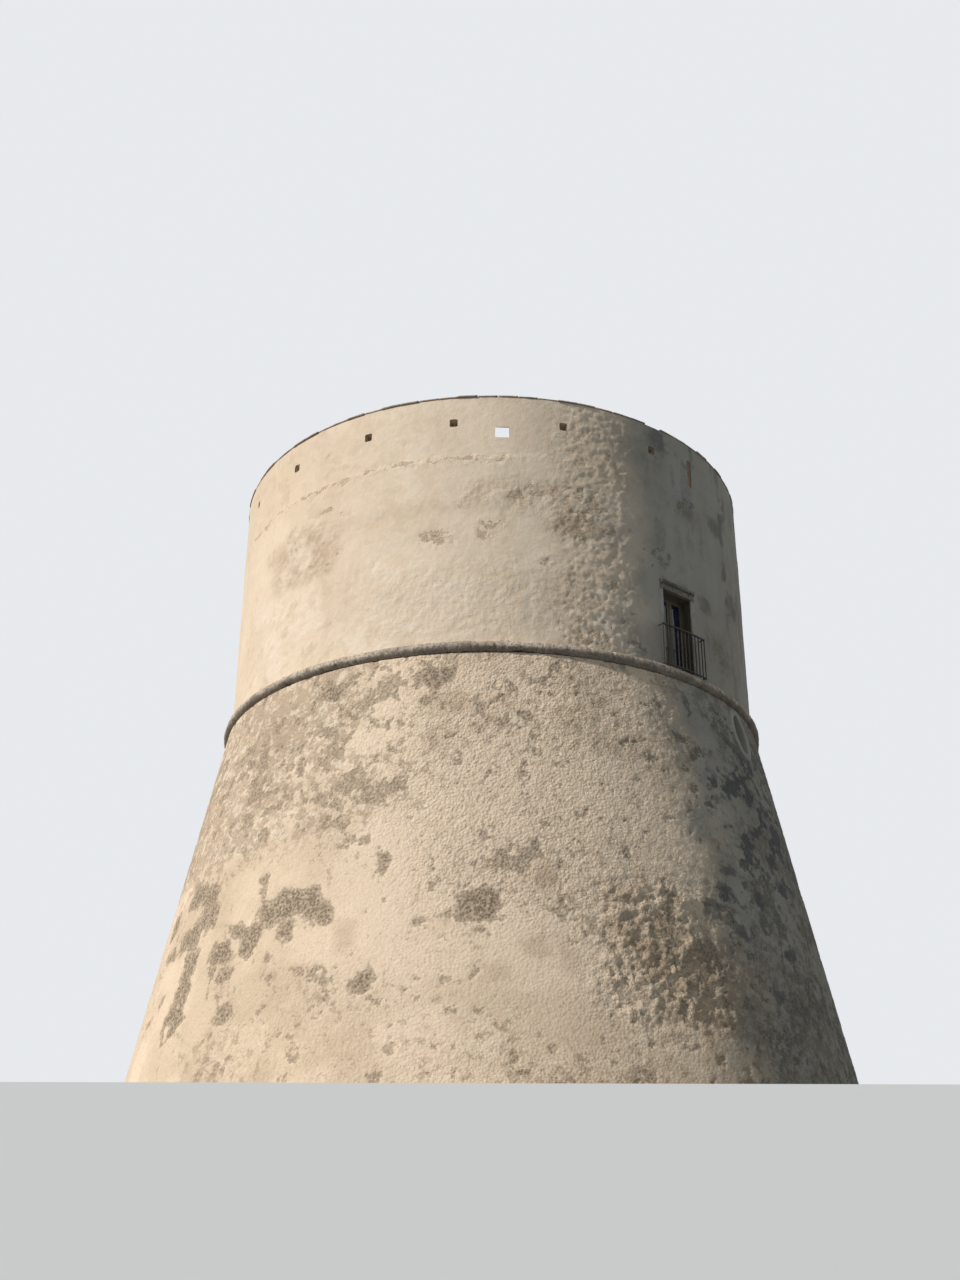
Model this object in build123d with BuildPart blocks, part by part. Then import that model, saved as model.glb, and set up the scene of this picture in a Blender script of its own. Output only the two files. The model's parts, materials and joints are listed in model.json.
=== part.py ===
from build123d import *
import math
import os

# A round masonry watchtower: battered base, half-round string course, drum with a walled terrace.
# Millimetres, +Z up, origin on the tower's axis at ground level.
# Azimuths are in degrees, 0 towards -Y and growing towards +X.

# Wall heights
cordon_bed_z = 10100.0
cordon_height = 300.0
drum_height = 5200.0
parapet_height = 1500.0
coping_height = 70.0

# Wall radii and thicknesses
base_radius = 9000.0
drum_radius = 6890.0
scarp_shoulder = 95.0
drum_wall_thickness = 1790.0
cordon_nose_reach = 240.0
cordon_tail = 590.0
parapet_thickness = 400.0
coping_overhang = 50.0

# Vaults and floors
lower_vault_ledge = 600.0
lower_vault_depth = 3500.0
lower_vault_rise = 2700.0
upper_vault_ledge = 500.0
upper_vault_depth = 2000.0
upper_vault_rise = 1600.0
lower_floor_thickness = 200.0
paving_thickness = 150.0
bed_gap = 2.0
floor_gap = 0.3

# Wall segments
segment_arc = 60.0
segment_count = 6
ring_arc = 120.0
ring_count = 3
parapet_joint_az = 25.0
cordon_joint_az = 100.0
coping_joint_az = 80.0

# Balcony windows
window_azimuths = {"east": 41.1, "west": -96.5}
window_width = 1000.0
window_height = 2010.0
sill_height = 80.0
sill_depth = 300.0
sill_overrun = 60.0
lintel_height = 230.0
lintel_depth = 320.0
lintel_overrun = 90.0
lintel_projection = 30.0
lintel_cap_height = 55.0
lintel_cap_reach = 45.0
lintel_cove = 40.0
reveal_depth = 250.0
embrasure_splay = 300.0
frame_width = 50.0
frame_depth = 80.0
leaf_stile = 85.0
leaf_bottom_rail = 160.0
leaf_thickness = 45.0
leaf_gap = 3.0
leaf_seat_gap = 0.3
glass_thickness = 6.0
glass_rebate = 12.0
cover_strip = 40.0
cover_thickness = 12.0
drip_height = 45.0
drip_reach = 30.0
drip_slope = 30.0

# Balcony rails
rail_width = 1475.0
rail_height = 1050.0
rail_standoff = 190.0
rail_bar = 20.0
rail_top_bar = 35.0
rail_bays = 12
rail_end_gap = 0.3

# Round window
oculus_az = 58.5
oculus_z = 9400.0
oculus_radius = 540.0
oculus_mouth_depth = 450.0
shaft_width = 1080.0
shaft_height = 1080.0
shaft_inner_radius = 2250.0
shaft_inner_width = 2000.0
shaft_inner_height = 1600.0
shaft_drop = 1200.0
surround_width = 150.0
surround_projection = 40.0
surround_bed = 60.0

# Openings of the terrace wall
hole_azimuths = [-65.2, -46.6, -26.4, -7.7, 14.9, 35.8]
rear_hole_az = 76.0
rear_hole_step = 20.0
rear_hole_count = 11
hole_width = 200.0
hole_height = 220.0
hole_z = 16380.0
loop_az = 2.2
loop_width = 340.0
loop_height = 300.0
loop_z = 16080.0
loop_splay = 130.0
loop_rise = 290.0
slit_az = 47.7
slit_width = 150.0
slit_height = 780.0
slit_z = 16260.0
slit_splay = 150.0

# Levels and radii that follow
drum_base_z = cordon_bed_z + cordon_height
parapet_base_z = drum_base_z + drum_height
parapet_top_z = parapet_base_z + parapet_height
parapet_inner_radius = drum_radius - parapet_thickness
scarp_top_radius = drum_radius + scarp_shoulder
upper_room_radius = drum_radius - drum_wall_thickness
lower_room_radius = upper_room_radius - lower_vault_ledge
terrace_vault_radius = upper_room_radius + upper_vault_ledge
lower_springing_z = drum_base_z - lower_vault_depth
upper_springing_z = parapet_base_z - upper_vault_depth
wall_joint_az = oculus_az
vault_joint_az = oculus_az
cordon_inner_radius = drum_radius - cordon_tail
cordon_nose_radius = drum_radius + cordon_nose_reach
batter = (base_radius - scarp_top_radius) / cordon_bed_z
window_sill_z = drum_base_z + sill_height
window_head_z = window_sill_z + window_height
frame_outer_radius = drum_radius - reveal_depth
frame_back_radius = frame_outer_radius - frame_depth
nose_radius = cordon_height / 2


def scarp_radius(z):
    """Outer radius of the battered wall at a height."""
    return base_radius - batter * z


def radial(az):
    """Vertical plane through the axis, x outwards and y up."""
    a = math.radians(az)
    return Plane(
        origin=(0, 0, 0),
        x_dir=(math.sin(a), -math.cos(a), 0),
        z_dir=(-math.cos(a), -math.sin(a), 0),
    )


def facing(az, radius):
    """Upright plane that faces outwards at a radius, x to the right from outside and y up."""
    a = math.radians(az)
    return Plane(
        origin=(radius * math.sin(a), -radius * math.cos(a), 0),
        x_dir=(math.cos(a), math.sin(a), 0),
        z_dir=(math.sin(a), -math.cos(a), 0),
    )


def within(az, start, arc, margin=0.0):
    """Whether an azimuth lies on the segment that starts at start, or within a margin of its ends."""
    return (az - start + margin) % 360 < arc + 2 * margin


def save(part, label):
    """Label a finished piece and write it to its own file."""
    part.label = label
    export_step(part, f"parts/{label}.step")


def frustum(az, outer_radius, depth, z, size, inner_z, inner_size):
    """Solid of an opening that runs inwards from a rectangle to another one."""
    with BuildPart() as cutter:
        with BuildSketch(facing(az, outer_radius)):
            with Locations((0, z)):
                Rectangle(*size)
        with BuildSketch(facing(az, outer_radius - depth)):
            with Locations((0, inner_z)):
                Rectangle(*inner_size)
        loft()
    return cutter.part


def vault_profile(span_radius, springing_z, rise, outer_radius, top_z):
    """Half section of a domical vault with a flat top, which stands on a ledge at its springing."""
    sphere_radius = (span_radius**2 + rise**2) / (2 * rise)
    crown_z = springing_z + rise
    half_angle = math.asin(span_radius / sphere_radius) / 2
    haunch = (
        sphere_radius * math.sin(half_angle),
        crown_z - sphere_radius * (1 - math.cos(half_angle)),
    )
    springing = (span_radius, springing_z)
    ThreePointArc(springing, haunch, (0, crown_z))
    Polyline(
        (0, crown_z),
        (0, top_z),
        (outer_radius, top_z),
        (outer_radius, springing_z),
        springing,
    )


os.makedirs("parts", exist_ok=True)

# Round window's mouth and the splayed shaft that falls from it to the lower room
mouth_radius = scarp_radius(oculus_z)
mouth_plane = facing(oculus_az, mouth_radius + surround_width)
shaft_start = mouth_radius - oculus_mouth_depth
shaft_arc = 2 * math.degrees(math.atan(shaft_inner_width / 2 / shaft_inner_radius))
with BuildPart() as oculus_void:
    with BuildSketch(mouth_plane):
        with Locations((0, oculus_z)):
            Circle(oculus_radius)
    extrude(amount=-(surround_width + oculus_mouth_depth))
    add(
        frustum(
            oculus_az,
            shaft_start,
            shaft_start - shaft_inner_radius,
            oculus_z,
            (shaft_width, shaft_height),
            oculus_z - shaft_drop,
            (shaft_inner_width, shaft_inner_height),
        )
    )

# Raised ring of the round window, which follows the battered wall
with BuildPart() as oculus_surround:
    with BuildSketch(mouth_plane):
        with Locations((0, oculus_z)):
            Circle(oculus_radius + surround_width)
            Circle(oculus_radius, mode=Mode.SUBTRACT)
    extrude(amount=-(surround_width + oculus_mouth_depth))
    with BuildSketch(radial(oculus_az - segment_arc / 2)):
        with BuildLine():
            Polyline(
                (base_radius - surround_bed, 0),
                (base_radius + surround_projection, 0),
                (scarp_top_radius + surround_projection, cordon_bed_z),
                (scarp_top_radius - surround_bed, cordon_bed_z),
                close=True,
            )
        make_face()
    revolve(axis=Axis.Z, revolution_arc=segment_arc, mode=Mode.INTERSECT)
save(oculus_surround.part, "oculus_surround")

# Battered wall
for number in range(1, segment_count + 1):
    start = wall_joint_az + segment_arc * (number - 1)
    with BuildPart() as scarp_wall:
        with BuildSketch(radial(start)):
            with BuildLine():
                Polyline(
                    (lower_room_radius, 0),
                    (base_radius, 0),
                    (scarp_top_radius, cordon_bed_z),
                    (cordon_inner_radius - bed_gap, cordon_bed_z),
                    (cordon_inner_radius - bed_gap, drum_base_z),
                    (upper_room_radius, drum_base_z),
                    (upper_room_radius, lower_springing_z),
                    (lower_room_radius, lower_springing_z),
                    close=True,
                )
            make_face()
        revolve(axis=Axis.Z, revolution_arc=segment_arc)
        if within(oculus_az, start, segment_arc, shaft_arc / 2):
            add(oculus_surround.part, mode=Mode.SUBTRACT)
            add(oculus_void.part, mode=Mode.SUBTRACT)
    save(scarp_wall.part, f"scarp_wall_{number}")

# String course with a half-round nose
for number in range(1, ring_count + 1):
    start = cordon_joint_az + ring_arc * (number - 1)
    with BuildPart() as cordon:
        with BuildSketch(radial(start)):
            with BuildLine():
                nose_bottom = (cordon_nose_radius - nose_radius, cordon_bed_z)
                nose_tip = (cordon_nose_radius, cordon_bed_z + nose_radius)
                nose_top = (cordon_nose_radius - nose_radius, drum_base_z)
                ThreePointArc(nose_bottom, nose_tip, nose_top)
                Polyline(
                    nose_top,
                    (cordon_inner_radius, drum_base_z),
                    (cordon_inner_radius, cordon_bed_z),
                    nose_bottom,
                )
            make_face()
        revolve(axis=Axis.Z, revolution_arc=ring_arc)
    save(cordon.part, f"cordon_{number}")

# Upper wall with the window openings
for number in range(1, segment_count + 1):
    start = wall_joint_az + segment_arc * (number - 1)
    with BuildPart() as drum_wall:
        with BuildSketch(radial(start)):
            with BuildLine():
                Polyline(
                    (upper_room_radius, drum_base_z),
                    (drum_radius, drum_base_z),
                    (drum_radius, parapet_base_z),
                    (terrace_vault_radius, parapet_base_z),
                    (terrace_vault_radius, upper_springing_z),
                    (upper_room_radius, upper_springing_z),
                    close=True,
                )
            make_face()
        revolve(axis=Axis.Z, revolution_arc=segment_arc)
        for window_az in window_azimuths.values():
            if within(window_az, start, segment_arc):
                with BuildSketch(facing(window_az, drum_radius)):
                    with Locations((0, drum_base_z)):
                        Rectangle(
                            window_width + 2 * sill_overrun,
                            sill_height,
                            align=(Align.CENTER, Align.MIN),
                        )
                extrude(amount=-sill_depth, mode=Mode.SUBTRACT)
                with BuildSketch(facing(window_az, drum_radius)):
                    with Locations((0, window_sill_z)):
                        Rectangle(window_width, window_height, align=(Align.CENTER, Align.MIN))
                extrude(amount=-(reveal_depth + frame_depth), mode=Mode.SUBTRACT)
                with BuildSketch(facing(window_az, drum_radius)):
                    with Locations((0, window_head_z)):
                        Rectangle(
                            window_width + 2 * lintel_overrun,
                            lintel_height,
                            align=(Align.CENTER, Align.MIN),
                        )
                extrude(amount=-lintel_depth, mode=Mode.SUBTRACT)
                inner_height = window_height + sill_height + embrasure_splay
                embrasure_depth = frame_back_radius - upper_room_radius + embrasure_splay
                add(
                    frustum(
                        window_az,
                        frame_back_radius,
                        embrasure_depth,
                        window_sill_z + window_height / 2,
                        (window_width, window_height),
                        drum_base_z + inner_height / 2,
                        (window_width + 2 * embrasure_splay, inner_height),
                    ),
                    mode=Mode.SUBTRACT,
                )
    save(drum_wall.part, f"drum_wall_{number}")

# Lintels, sills, frames, leaves, glass and rails of the two balcony windows
leaf_height = window_height - 2 * frame_width - 2 * leaf_seat_gap
leaf_width = (window_width - 2 * frame_width - 2 * leaf_seat_gap - leaf_gap) / 2
leaf_z = window_sill_z + window_height / 2
leaf_radius = frame_outer_radius - (frame_depth - leaf_thickness) / 2
pane_width = leaf_width - 2 * leaf_stile
pane_height = leaf_height - leaf_stile - leaf_bottom_rail
pane_z = leaf_z + (leaf_bottom_rail - leaf_stile) / 2
rail_radius = drum_radius + rail_standoff
rail_spacing = rail_width / rail_bays
for side, window_az in window_azimuths.items():
    with BuildPart() as lintel:
        with BuildSketch(radial(window_az)):
            with BuildLine():
                face_x = drum_radius + lintel_projection
                cap_z = window_head_z + lintel_height - lintel_cap_height
                cap_x = face_x + lintel_cap_reach
                RadiusArc((face_x, cap_z - lintel_cove), (face_x + lintel_cove, cap_z), -lintel_cove)
                Polyline(
                    (face_x + lintel_cove, cap_z),
                    (cap_x, cap_z),
                    (cap_x, cap_z + lintel_cap_height),
                    (drum_radius - lintel_depth, cap_z + lintel_cap_height),
                    (drum_radius - lintel_depth, window_head_z),
                    (face_x, window_head_z),
                    (face_x, cap_z - lintel_cove),
                )
            make_face()
        extrude(amount=window_width / 2 + lintel_overrun, both=True)
    save(lintel.part, f"{side}_window_lintel")

    with BuildPart() as sill:
        with BuildSketch(facing(window_az, drum_radius)):
            with Locations((0, drum_base_z)):
                Rectangle(
                    window_width + 2 * sill_overrun,
                    sill_height,
                    align=(Align.CENTER, Align.MIN),
                )
        extrude(amount=-sill_depth)
    save(sill.part, f"{side}_window_sill")

    with BuildPart() as frame:
        with BuildSketch(facing(window_az, frame_outer_radius)):
            with Locations((0, window_sill_z + window_height / 2)):
                Rectangle(window_width, window_height)
                Rectangle(
                    window_width - 2 * frame_width,
                    window_height - 2 * frame_width,
                    mode=Mode.SUBTRACT,
                )
        extrude(amount=-frame_depth)
    save(frame.part, f"{side}_window_frame")

    for hand, direction in (("left", -1), ("right", 1)):
        leaf_x = direction * (leaf_width + leaf_gap) / 2
        with BuildPart() as leaf:
            with BuildSketch(facing(window_az, leaf_radius)):
                with Locations((leaf_x, leaf_z)):
                    Rectangle(leaf_width, leaf_height)
                with Locations((leaf_x, pane_z)):
                    Rectangle(pane_width, pane_height, mode=Mode.SUBTRACT)
            extrude(amount=-leaf_thickness)
            with BuildSketch(facing(window_az, leaf_radius - (leaf_thickness - glass_thickness) / 2)):
                with Locations((leaf_x, pane_z)):
                    Rectangle(pane_width + 2 * glass_rebate, pane_height + 2 * glass_rebate)
            extrude(amount=-glass_thickness, mode=Mode.SUBTRACT)
            with BuildSketch(facing(window_az, leaf_radius)):
                with Locations((leaf_x, leaf_z - leaf_height / 2)):
                    Rectangle(leaf_width, drip_height, align=(Align.CENTER, Align.MIN))
            extrude(amount=drip_reach, taper=drip_slope)
            if hand == "right":
                with BuildSketch(facing(window_az, leaf_radius)):
                    with Locations((0, leaf_z + drip_height / 2)):
                        Rectangle(cover_strip, leaf_height - drip_height)
                extrude(amount=cover_thickness)
        save(leaf.part, f"{side}_window_{hand}_leaf")

    with BuildPart() as glass:
        with BuildSketch(facing(window_az, leaf_radius - (leaf_thickness - glass_thickness) / 2)):
            with Locations(
                (-(leaf_width + leaf_gap) / 2, pane_z),
                ((leaf_width + leaf_gap) / 2, pane_z),
            ):
                Rectangle(pane_width + 2 * glass_rebate, pane_height + 2 * glass_rebate)
        extrude(amount=-glass_thickness)
    save(glass.part, f"{side}_window_glass")

    half_arc = math.degrees(rail_width / 2 / rail_radius)
    bar_arc = math.degrees(rail_spacing / rail_radius)
    with BuildPart() as rail_front:
        for bar_z, thickness in (
            (drum_base_z, rail_bar),
            (drum_base_z + rail_height - rail_top_bar, rail_top_bar),
        ):
            with BuildSketch(radial(window_az - half_arc)):
                with Locations((rail_radius, bar_z)):
                    Rectangle(rail_top_bar, thickness, align=(Align.CENTER, Align.MIN))
            revolve(axis=Axis.Z, revolution_arc=2 * half_arc)
        for bar in range(rail_bays + 1):
            bar_az = window_az - half_arc + bar * bar_arc
            inset = (bar == 0) - (bar == rail_bays)
            with BuildSketch(facing(bar_az, rail_radius)):
                with Locations((inset * rail_bar / 2, drum_base_z - nose_radius)):
                    Rectangle(rail_bar, rail_height + nose_radius, align=(Align.CENTER, Align.MIN))
            extrude(amount=rail_bar / 2, both=True)
        with BuildSketch(radial(window_az - 2 * half_arc)):
            with Locations((cordon_nose_radius - nose_radius, drum_base_z - nose_radius)):
                Circle(nose_radius)
        revolve(axis=Axis.Z, revolution_arc=4 * half_arc, mode=Mode.SUBTRACT)
    save(rail_front.part, f"{side}_rail_front")

    with BuildPart() as rail_ends:
        return_radius = rail_radius - rail_top_bar / 2 - rail_end_gap
        return_reach = return_radius - drum_radius
        for direction in (-1, 1):
            end_az = window_az + direction * half_arc
            with BuildSketch(facing(end_az, return_radius)):
                with Locations(
                    (-direction * rail_bar / 2, drum_base_z + rail_height - rail_top_bar / 2),
                    (-direction * rail_bar / 2, drum_base_z + rail_bar / 2),
                ):
                    Rectangle(rail_bar, rail_bar)
            extrude(amount=-return_reach)
    save(rail_ends.part, f"{side}_rail_ends")

# Terrace wall with its holes, loop and slit
holes = hole_azimuths + [rear_hole_az + rear_hole_step * i for i in range(rear_hole_count)]
for number in range(1, segment_count + 1):
    start = parapet_joint_az + segment_arc * (number - 1)
    with BuildPart() as parapet:
        with BuildSketch(radial(start)):
            with BuildLine():
                Polyline(
                    (parapet_inner_radius, parapet_base_z),
                    (drum_radius, parapet_base_z),
                    (drum_radius, parapet_top_z),
                    (parapet_inner_radius, parapet_top_z),
                    close=True,
                )
            make_face()
        revolve(axis=Axis.Z, revolution_arc=segment_arc)
        for hole_az in holes:
            if within(hole_az, start, segment_arc):
                with BuildSketch(facing(hole_az, drum_radius)):
                    with Locations((0, hole_z)):
                        Rectangle(hole_width, hole_height)
                extrude(amount=-2 * parapet_thickness, mode=Mode.SUBTRACT)
        if within(loop_az, start, segment_arc):
            add(
                frustum(
                    loop_az,
                    drum_radius + parapet_thickness / 2,
                    2 * parapet_thickness,
                    loop_z - loop_rise / 4,
                    (loop_width - loop_splay, loop_height - loop_rise / 2),
                    loop_z + loop_rise * 3 / 4,
                    (loop_width + 3 * loop_splay, loop_height + loop_rise * 3 / 2),
                ),
                mode=Mode.SUBTRACT,
            )
        if within(slit_az, start, segment_arc):
            add(
                frustum(
                    slit_az,
                    drum_radius + parapet_thickness / 2,
                    2 * parapet_thickness,
                    slit_z,
                    (slit_width - slit_splay / 2, slit_height),
                    slit_z,
                    (slit_width + slit_splay * 3 / 2, slit_height),
                ),
                mode=Mode.SUBTRACT,
            )
    save(parapet.part, f"parapet_{number}")

# Thin cap slabs
for number in range(1, ring_count + 1):
    start = coping_joint_az + ring_arc * (number - 1)
    with BuildPart() as coping:
        with BuildSketch(radial(start)):
            with Locations((parapet_inner_radius - coping_overhang, parapet_top_z)):
                Rectangle(
                    parapet_thickness + 2 * coping_overhang,
                    coping_height,
                    align=(Align.MIN, Align.MIN),
                )
        revolve(axis=Axis.Z, revolution_arc=ring_arc)
    save(coping.part, f"coping_{number}")

# Floors and vaults
with BuildPart() as lower_floor:
    with BuildSketch(Plane.XY):
        Circle(lower_room_radius - floor_gap)
    extrude(amount=lower_floor_thickness)
save(lower_floor.part, "lower_floor")

for number in range(1, ring_count + 1):
    start = vault_joint_az + ring_arc * (number - 1)
    with BuildPart() as floor_vault:
        with BuildSketch(radial(start)):
            with BuildLine():
                vault_profile(
                    lower_room_radius,
                    lower_springing_z,
                    lower_vault_rise,
                    upper_room_radius - bed_gap,
                    drum_base_z,
                )
            make_face()
        revolve(axis=Axis.Z, revolution_arc=ring_arc)
        if within(oculus_az, start, ring_arc, shaft_arc / 2):
            add(oculus_void.part, mode=Mode.SUBTRACT)
    save(floor_vault.part, f"floor_vault_{number}")

with BuildPart() as terrace_vault:
    with BuildSketch(radial(vault_joint_az)):
        with BuildLine():
            vault_profile(
                upper_room_radius,
                upper_springing_z,
                upper_vault_rise,
                terrace_vault_radius - bed_gap,
                parapet_base_z,
            )
        make_face()
    revolve(axis=Axis.Z)
save(terrace_vault.part, "terrace_vault")

with BuildPart() as terrace_paving:
    with BuildSketch(Plane.XY.offset(parapet_base_z)):
        Circle(parapet_inner_radius - bed_gap)
    extrude(amount=paving_thickness)
save(terrace_paving.part, "terrace_paving")
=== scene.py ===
"""Looks of a round masonry watchtower: plaster relief, weathered stone, iron, joinery, stage and camera."""

import json
import math

import bmesh
import bpy
import numpy as np
from mathutils import Euler, Matrix, Vector


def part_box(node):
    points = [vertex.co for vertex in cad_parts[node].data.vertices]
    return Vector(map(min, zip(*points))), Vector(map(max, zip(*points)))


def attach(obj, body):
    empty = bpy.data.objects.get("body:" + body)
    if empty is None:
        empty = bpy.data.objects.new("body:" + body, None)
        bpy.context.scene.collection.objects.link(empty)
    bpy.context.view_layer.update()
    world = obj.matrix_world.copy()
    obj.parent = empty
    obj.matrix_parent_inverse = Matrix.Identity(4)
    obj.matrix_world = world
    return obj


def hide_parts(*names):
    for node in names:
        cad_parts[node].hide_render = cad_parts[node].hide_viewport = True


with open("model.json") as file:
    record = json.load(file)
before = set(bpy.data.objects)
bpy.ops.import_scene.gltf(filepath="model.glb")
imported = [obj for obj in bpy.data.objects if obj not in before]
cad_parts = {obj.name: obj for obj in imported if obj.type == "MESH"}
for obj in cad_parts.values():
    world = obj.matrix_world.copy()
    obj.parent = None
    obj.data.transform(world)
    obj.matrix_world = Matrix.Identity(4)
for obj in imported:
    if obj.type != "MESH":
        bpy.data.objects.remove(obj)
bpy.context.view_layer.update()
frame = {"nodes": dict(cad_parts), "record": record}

# Azimuths are in degrees, 0 towards the camera (-Y) and growing towards +X. Lengths are in metres.

WALL_SEGMENTS = 6
COAT_CELL = 0.045
COAT_EDGE_TUCK = 0.012
FOOT_INSET = 0.0005


def node_points(name):
    """All vertices of a CAD node."""
    data = frame["nodes"][name].data
    points = np.zeros(len(data.vertices) * 3)
    data.vertices.foreach_get("co", points)
    return points.reshape(-1, 3)


def radius_at(name, z):
    """Largest radius of a CAD node among its vertices at a height."""
    points = node_points(name)
    level = points[np.abs(points[:, 2] - z) < 0.002]
    return float(np.hypot(level[:, 0], level[:, 1]).max())


GROUND_Z = 0.0
CORDON_LOW_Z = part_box("cordon_1")[0].z
CORDON_TOP_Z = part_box("cordon_1")[1].z
PARAPET_LOW_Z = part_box("parapet_1")[0].z
PARAPET_TOP_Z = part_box("parapet_1")[1].z
COPING_TOP_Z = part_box("coping_1")[1].z
BASE_RADIUS = radius_at("scarp_wall_3", GROUND_Z)
SCARP_TOP_RADIUS = radius_at("scarp_wall_3", CORDON_LOW_Z)
DRUM_RADIUS = radius_at("drum_wall_3", PARAPET_LOW_Z)
CORDON_NOSE_RADIUS = float(np.hypot(*node_points("cordon_1")[:, :2].T).max())
COPING_RADIUS = float(np.hypot(*node_points("coping_1")[:, :2].T).max())
COPING_INNER_RADIUS = float(np.hypot(*node_points("coping_1")[:, :2].T).min())
BATTER = (BASE_RADIUS - SCARP_TOP_RADIUS) / CORDON_LOW_Z


def azimuth_of(points):
    """Azimuth of each point in degrees."""
    return np.degrees(np.arctan2(points[:, 0], -points[:, 1]))


def node_azimuth(name):
    """Azimuth of the middle of a CAD node."""
    low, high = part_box(name)
    return math.degrees(math.atan2((low.x + high.x) / 2, -(low.y + high.y) / 2))


def first_azimuth(name):
    """Azimuth at which a CAD node that covers part of the circle begins."""
    az = np.sort(azimuth_of(node_points(name)))
    gaps = np.diff(np.append(az, az[0] + 360.0))
    return float(az[(int(np.argmax(gaps)) + 1) % len(az)])


EAST_WINDOW_AZ = node_azimuth("east_window_frame")
WEST_WINDOW_AZ = node_azimuth("west_window_frame")
OCULUS_AZ = node_azimuth("oculus_surround")
WALL_JOINT_AZ = first_azimuth("scarp_wall_1")


# Repeatable noise


def lattice_value(ix, iy, iz, seed):
    """A repeatable value from 0 to 1 for each lattice point."""
    h = ix.astype(np.uint32) * np.uint32(73856093)
    h ^= iy.astype(np.uint32) * np.uint32(19349663)
    h ^= iz.astype(np.uint32) * np.uint32(83492791)
    h ^= np.uint32(seed * 7919 + 17)
    h = (h ^ (h >> np.uint32(13))) * np.uint32(1274126177)
    h = (h ^ (h >> np.uint32(16))) * np.uint32(2246822519)
    h ^= h >> np.uint32(15)
    return h.astype(np.float64) / 4294967295.0


def value_noise(points, seed):
    """Smooth noise from 0 to 1 with a lattice of one unit."""
    base = np.floor(points)
    f = points - base
    f = f * f * f * (f * (f * 6 - 15) + 10)
    i = base.astype(np.int64)
    total = 0.0
    for dx in (0, 1):
        wx = f[:, 0] if dx else 1 - f[:, 0]
        for dy in (0, 1):
            wy = f[:, 1] if dy else 1 - f[:, 1]
            for dz in (0, 1):
                wz = f[:, 2] if dz else 1 - f[:, 2]
                total = total + wx * wy * wz * lattice_value(
                    i[:, 0] + dx, i[:, 1] + dy, i[:, 2] + dz, seed
                )
    return total


def fractal(points, size, octaves, seed, gain=0.5):
    """Noise from 0 to 1 whose largest blobs have the given size in metres."""
    total, weight, amount = 0.0, 0.0, 1.0
    for octave in range(octaves):
        total = total + amount * value_noise(points * (2**octave / size), seed + octave)
        weight += amount
        amount *= gain
    return total / weight


def cell_distance(points, size, seed):
    """Distance to the nearest of scattered seeds, in units of their spacing."""
    scaled = points / size
    base = np.floor(scaled).astype(np.int64)
    best = np.full(len(points), 9.0)
    for dx in (-1, 0, 1):
        for dy in (-1, 0, 1):
            for dz in (-1, 0, 1):
                cell = base + (dx, dy, dz)
                offset = np.stack(
                    [lattice_value(cell[:, 0], cell[:, 1], cell[:, 2], seed + k) for k in range(3)], axis=1
                )
                best = np.minimum(best, ((cell + offset - scaled) ** 2).sum(axis=1))
    return np.sqrt(best)


def smooth(value, low=0.0, high=1.0):
    """Smooth step from 0 at low to 1 at high."""
    t = np.clip((value - low) / (high - low), 0, 1)
    return t * t * (3 - 2 * t)


def wrap(az):
    """Azimuth difference between -180 and 180."""
    return (az + 180) % 360 - 180


def zone(az, z, az_range, z_range, soft=(6.0, 0.6)):
    """1 inside a range of azimuth and height, falling to 0 over a soft edge."""
    middle = (az_range[0] + az_range[1]) / 2
    half = (az_range[1] - az_range[0]) / 2
    across = smooth((half - np.abs(wrap(az - middle))) / soft[0] + 0.5)
    up = smooth((z - z_range[0]) / soft[1] + 0.5) * smooth((z_range[1] - z) / soft[1] + 0.5)
    return across * up


def depth_in(az, z, radius, patches):
    """How deep points lie in the nearest of several patches, in metres, negative outside."""
    depth = np.full_like(az, -9.0)
    for patch_az, patch_z, half_width, half_height in patches:
        side = np.abs(np.radians(wrap(az - patch_az)) * radius) / half_width
        up = np.abs(z - patch_z) / half_height
        reach = (side**3 + up**3) ** (1 / 3)
        depth = np.maximum(depth, (1.0 - reach) * min(half_width, half_height))
    return depth


def shifted(points, reach, size, octaves, seed):
    """Points moved about by noise, which makes the outline of a patch uneven."""
    noise = np.stack([fractal(points, size, octaves, seed + 10 * k, 0.65) for k in range(3)], axis=1)
    return points + reach * (noise - 0.5)


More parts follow.
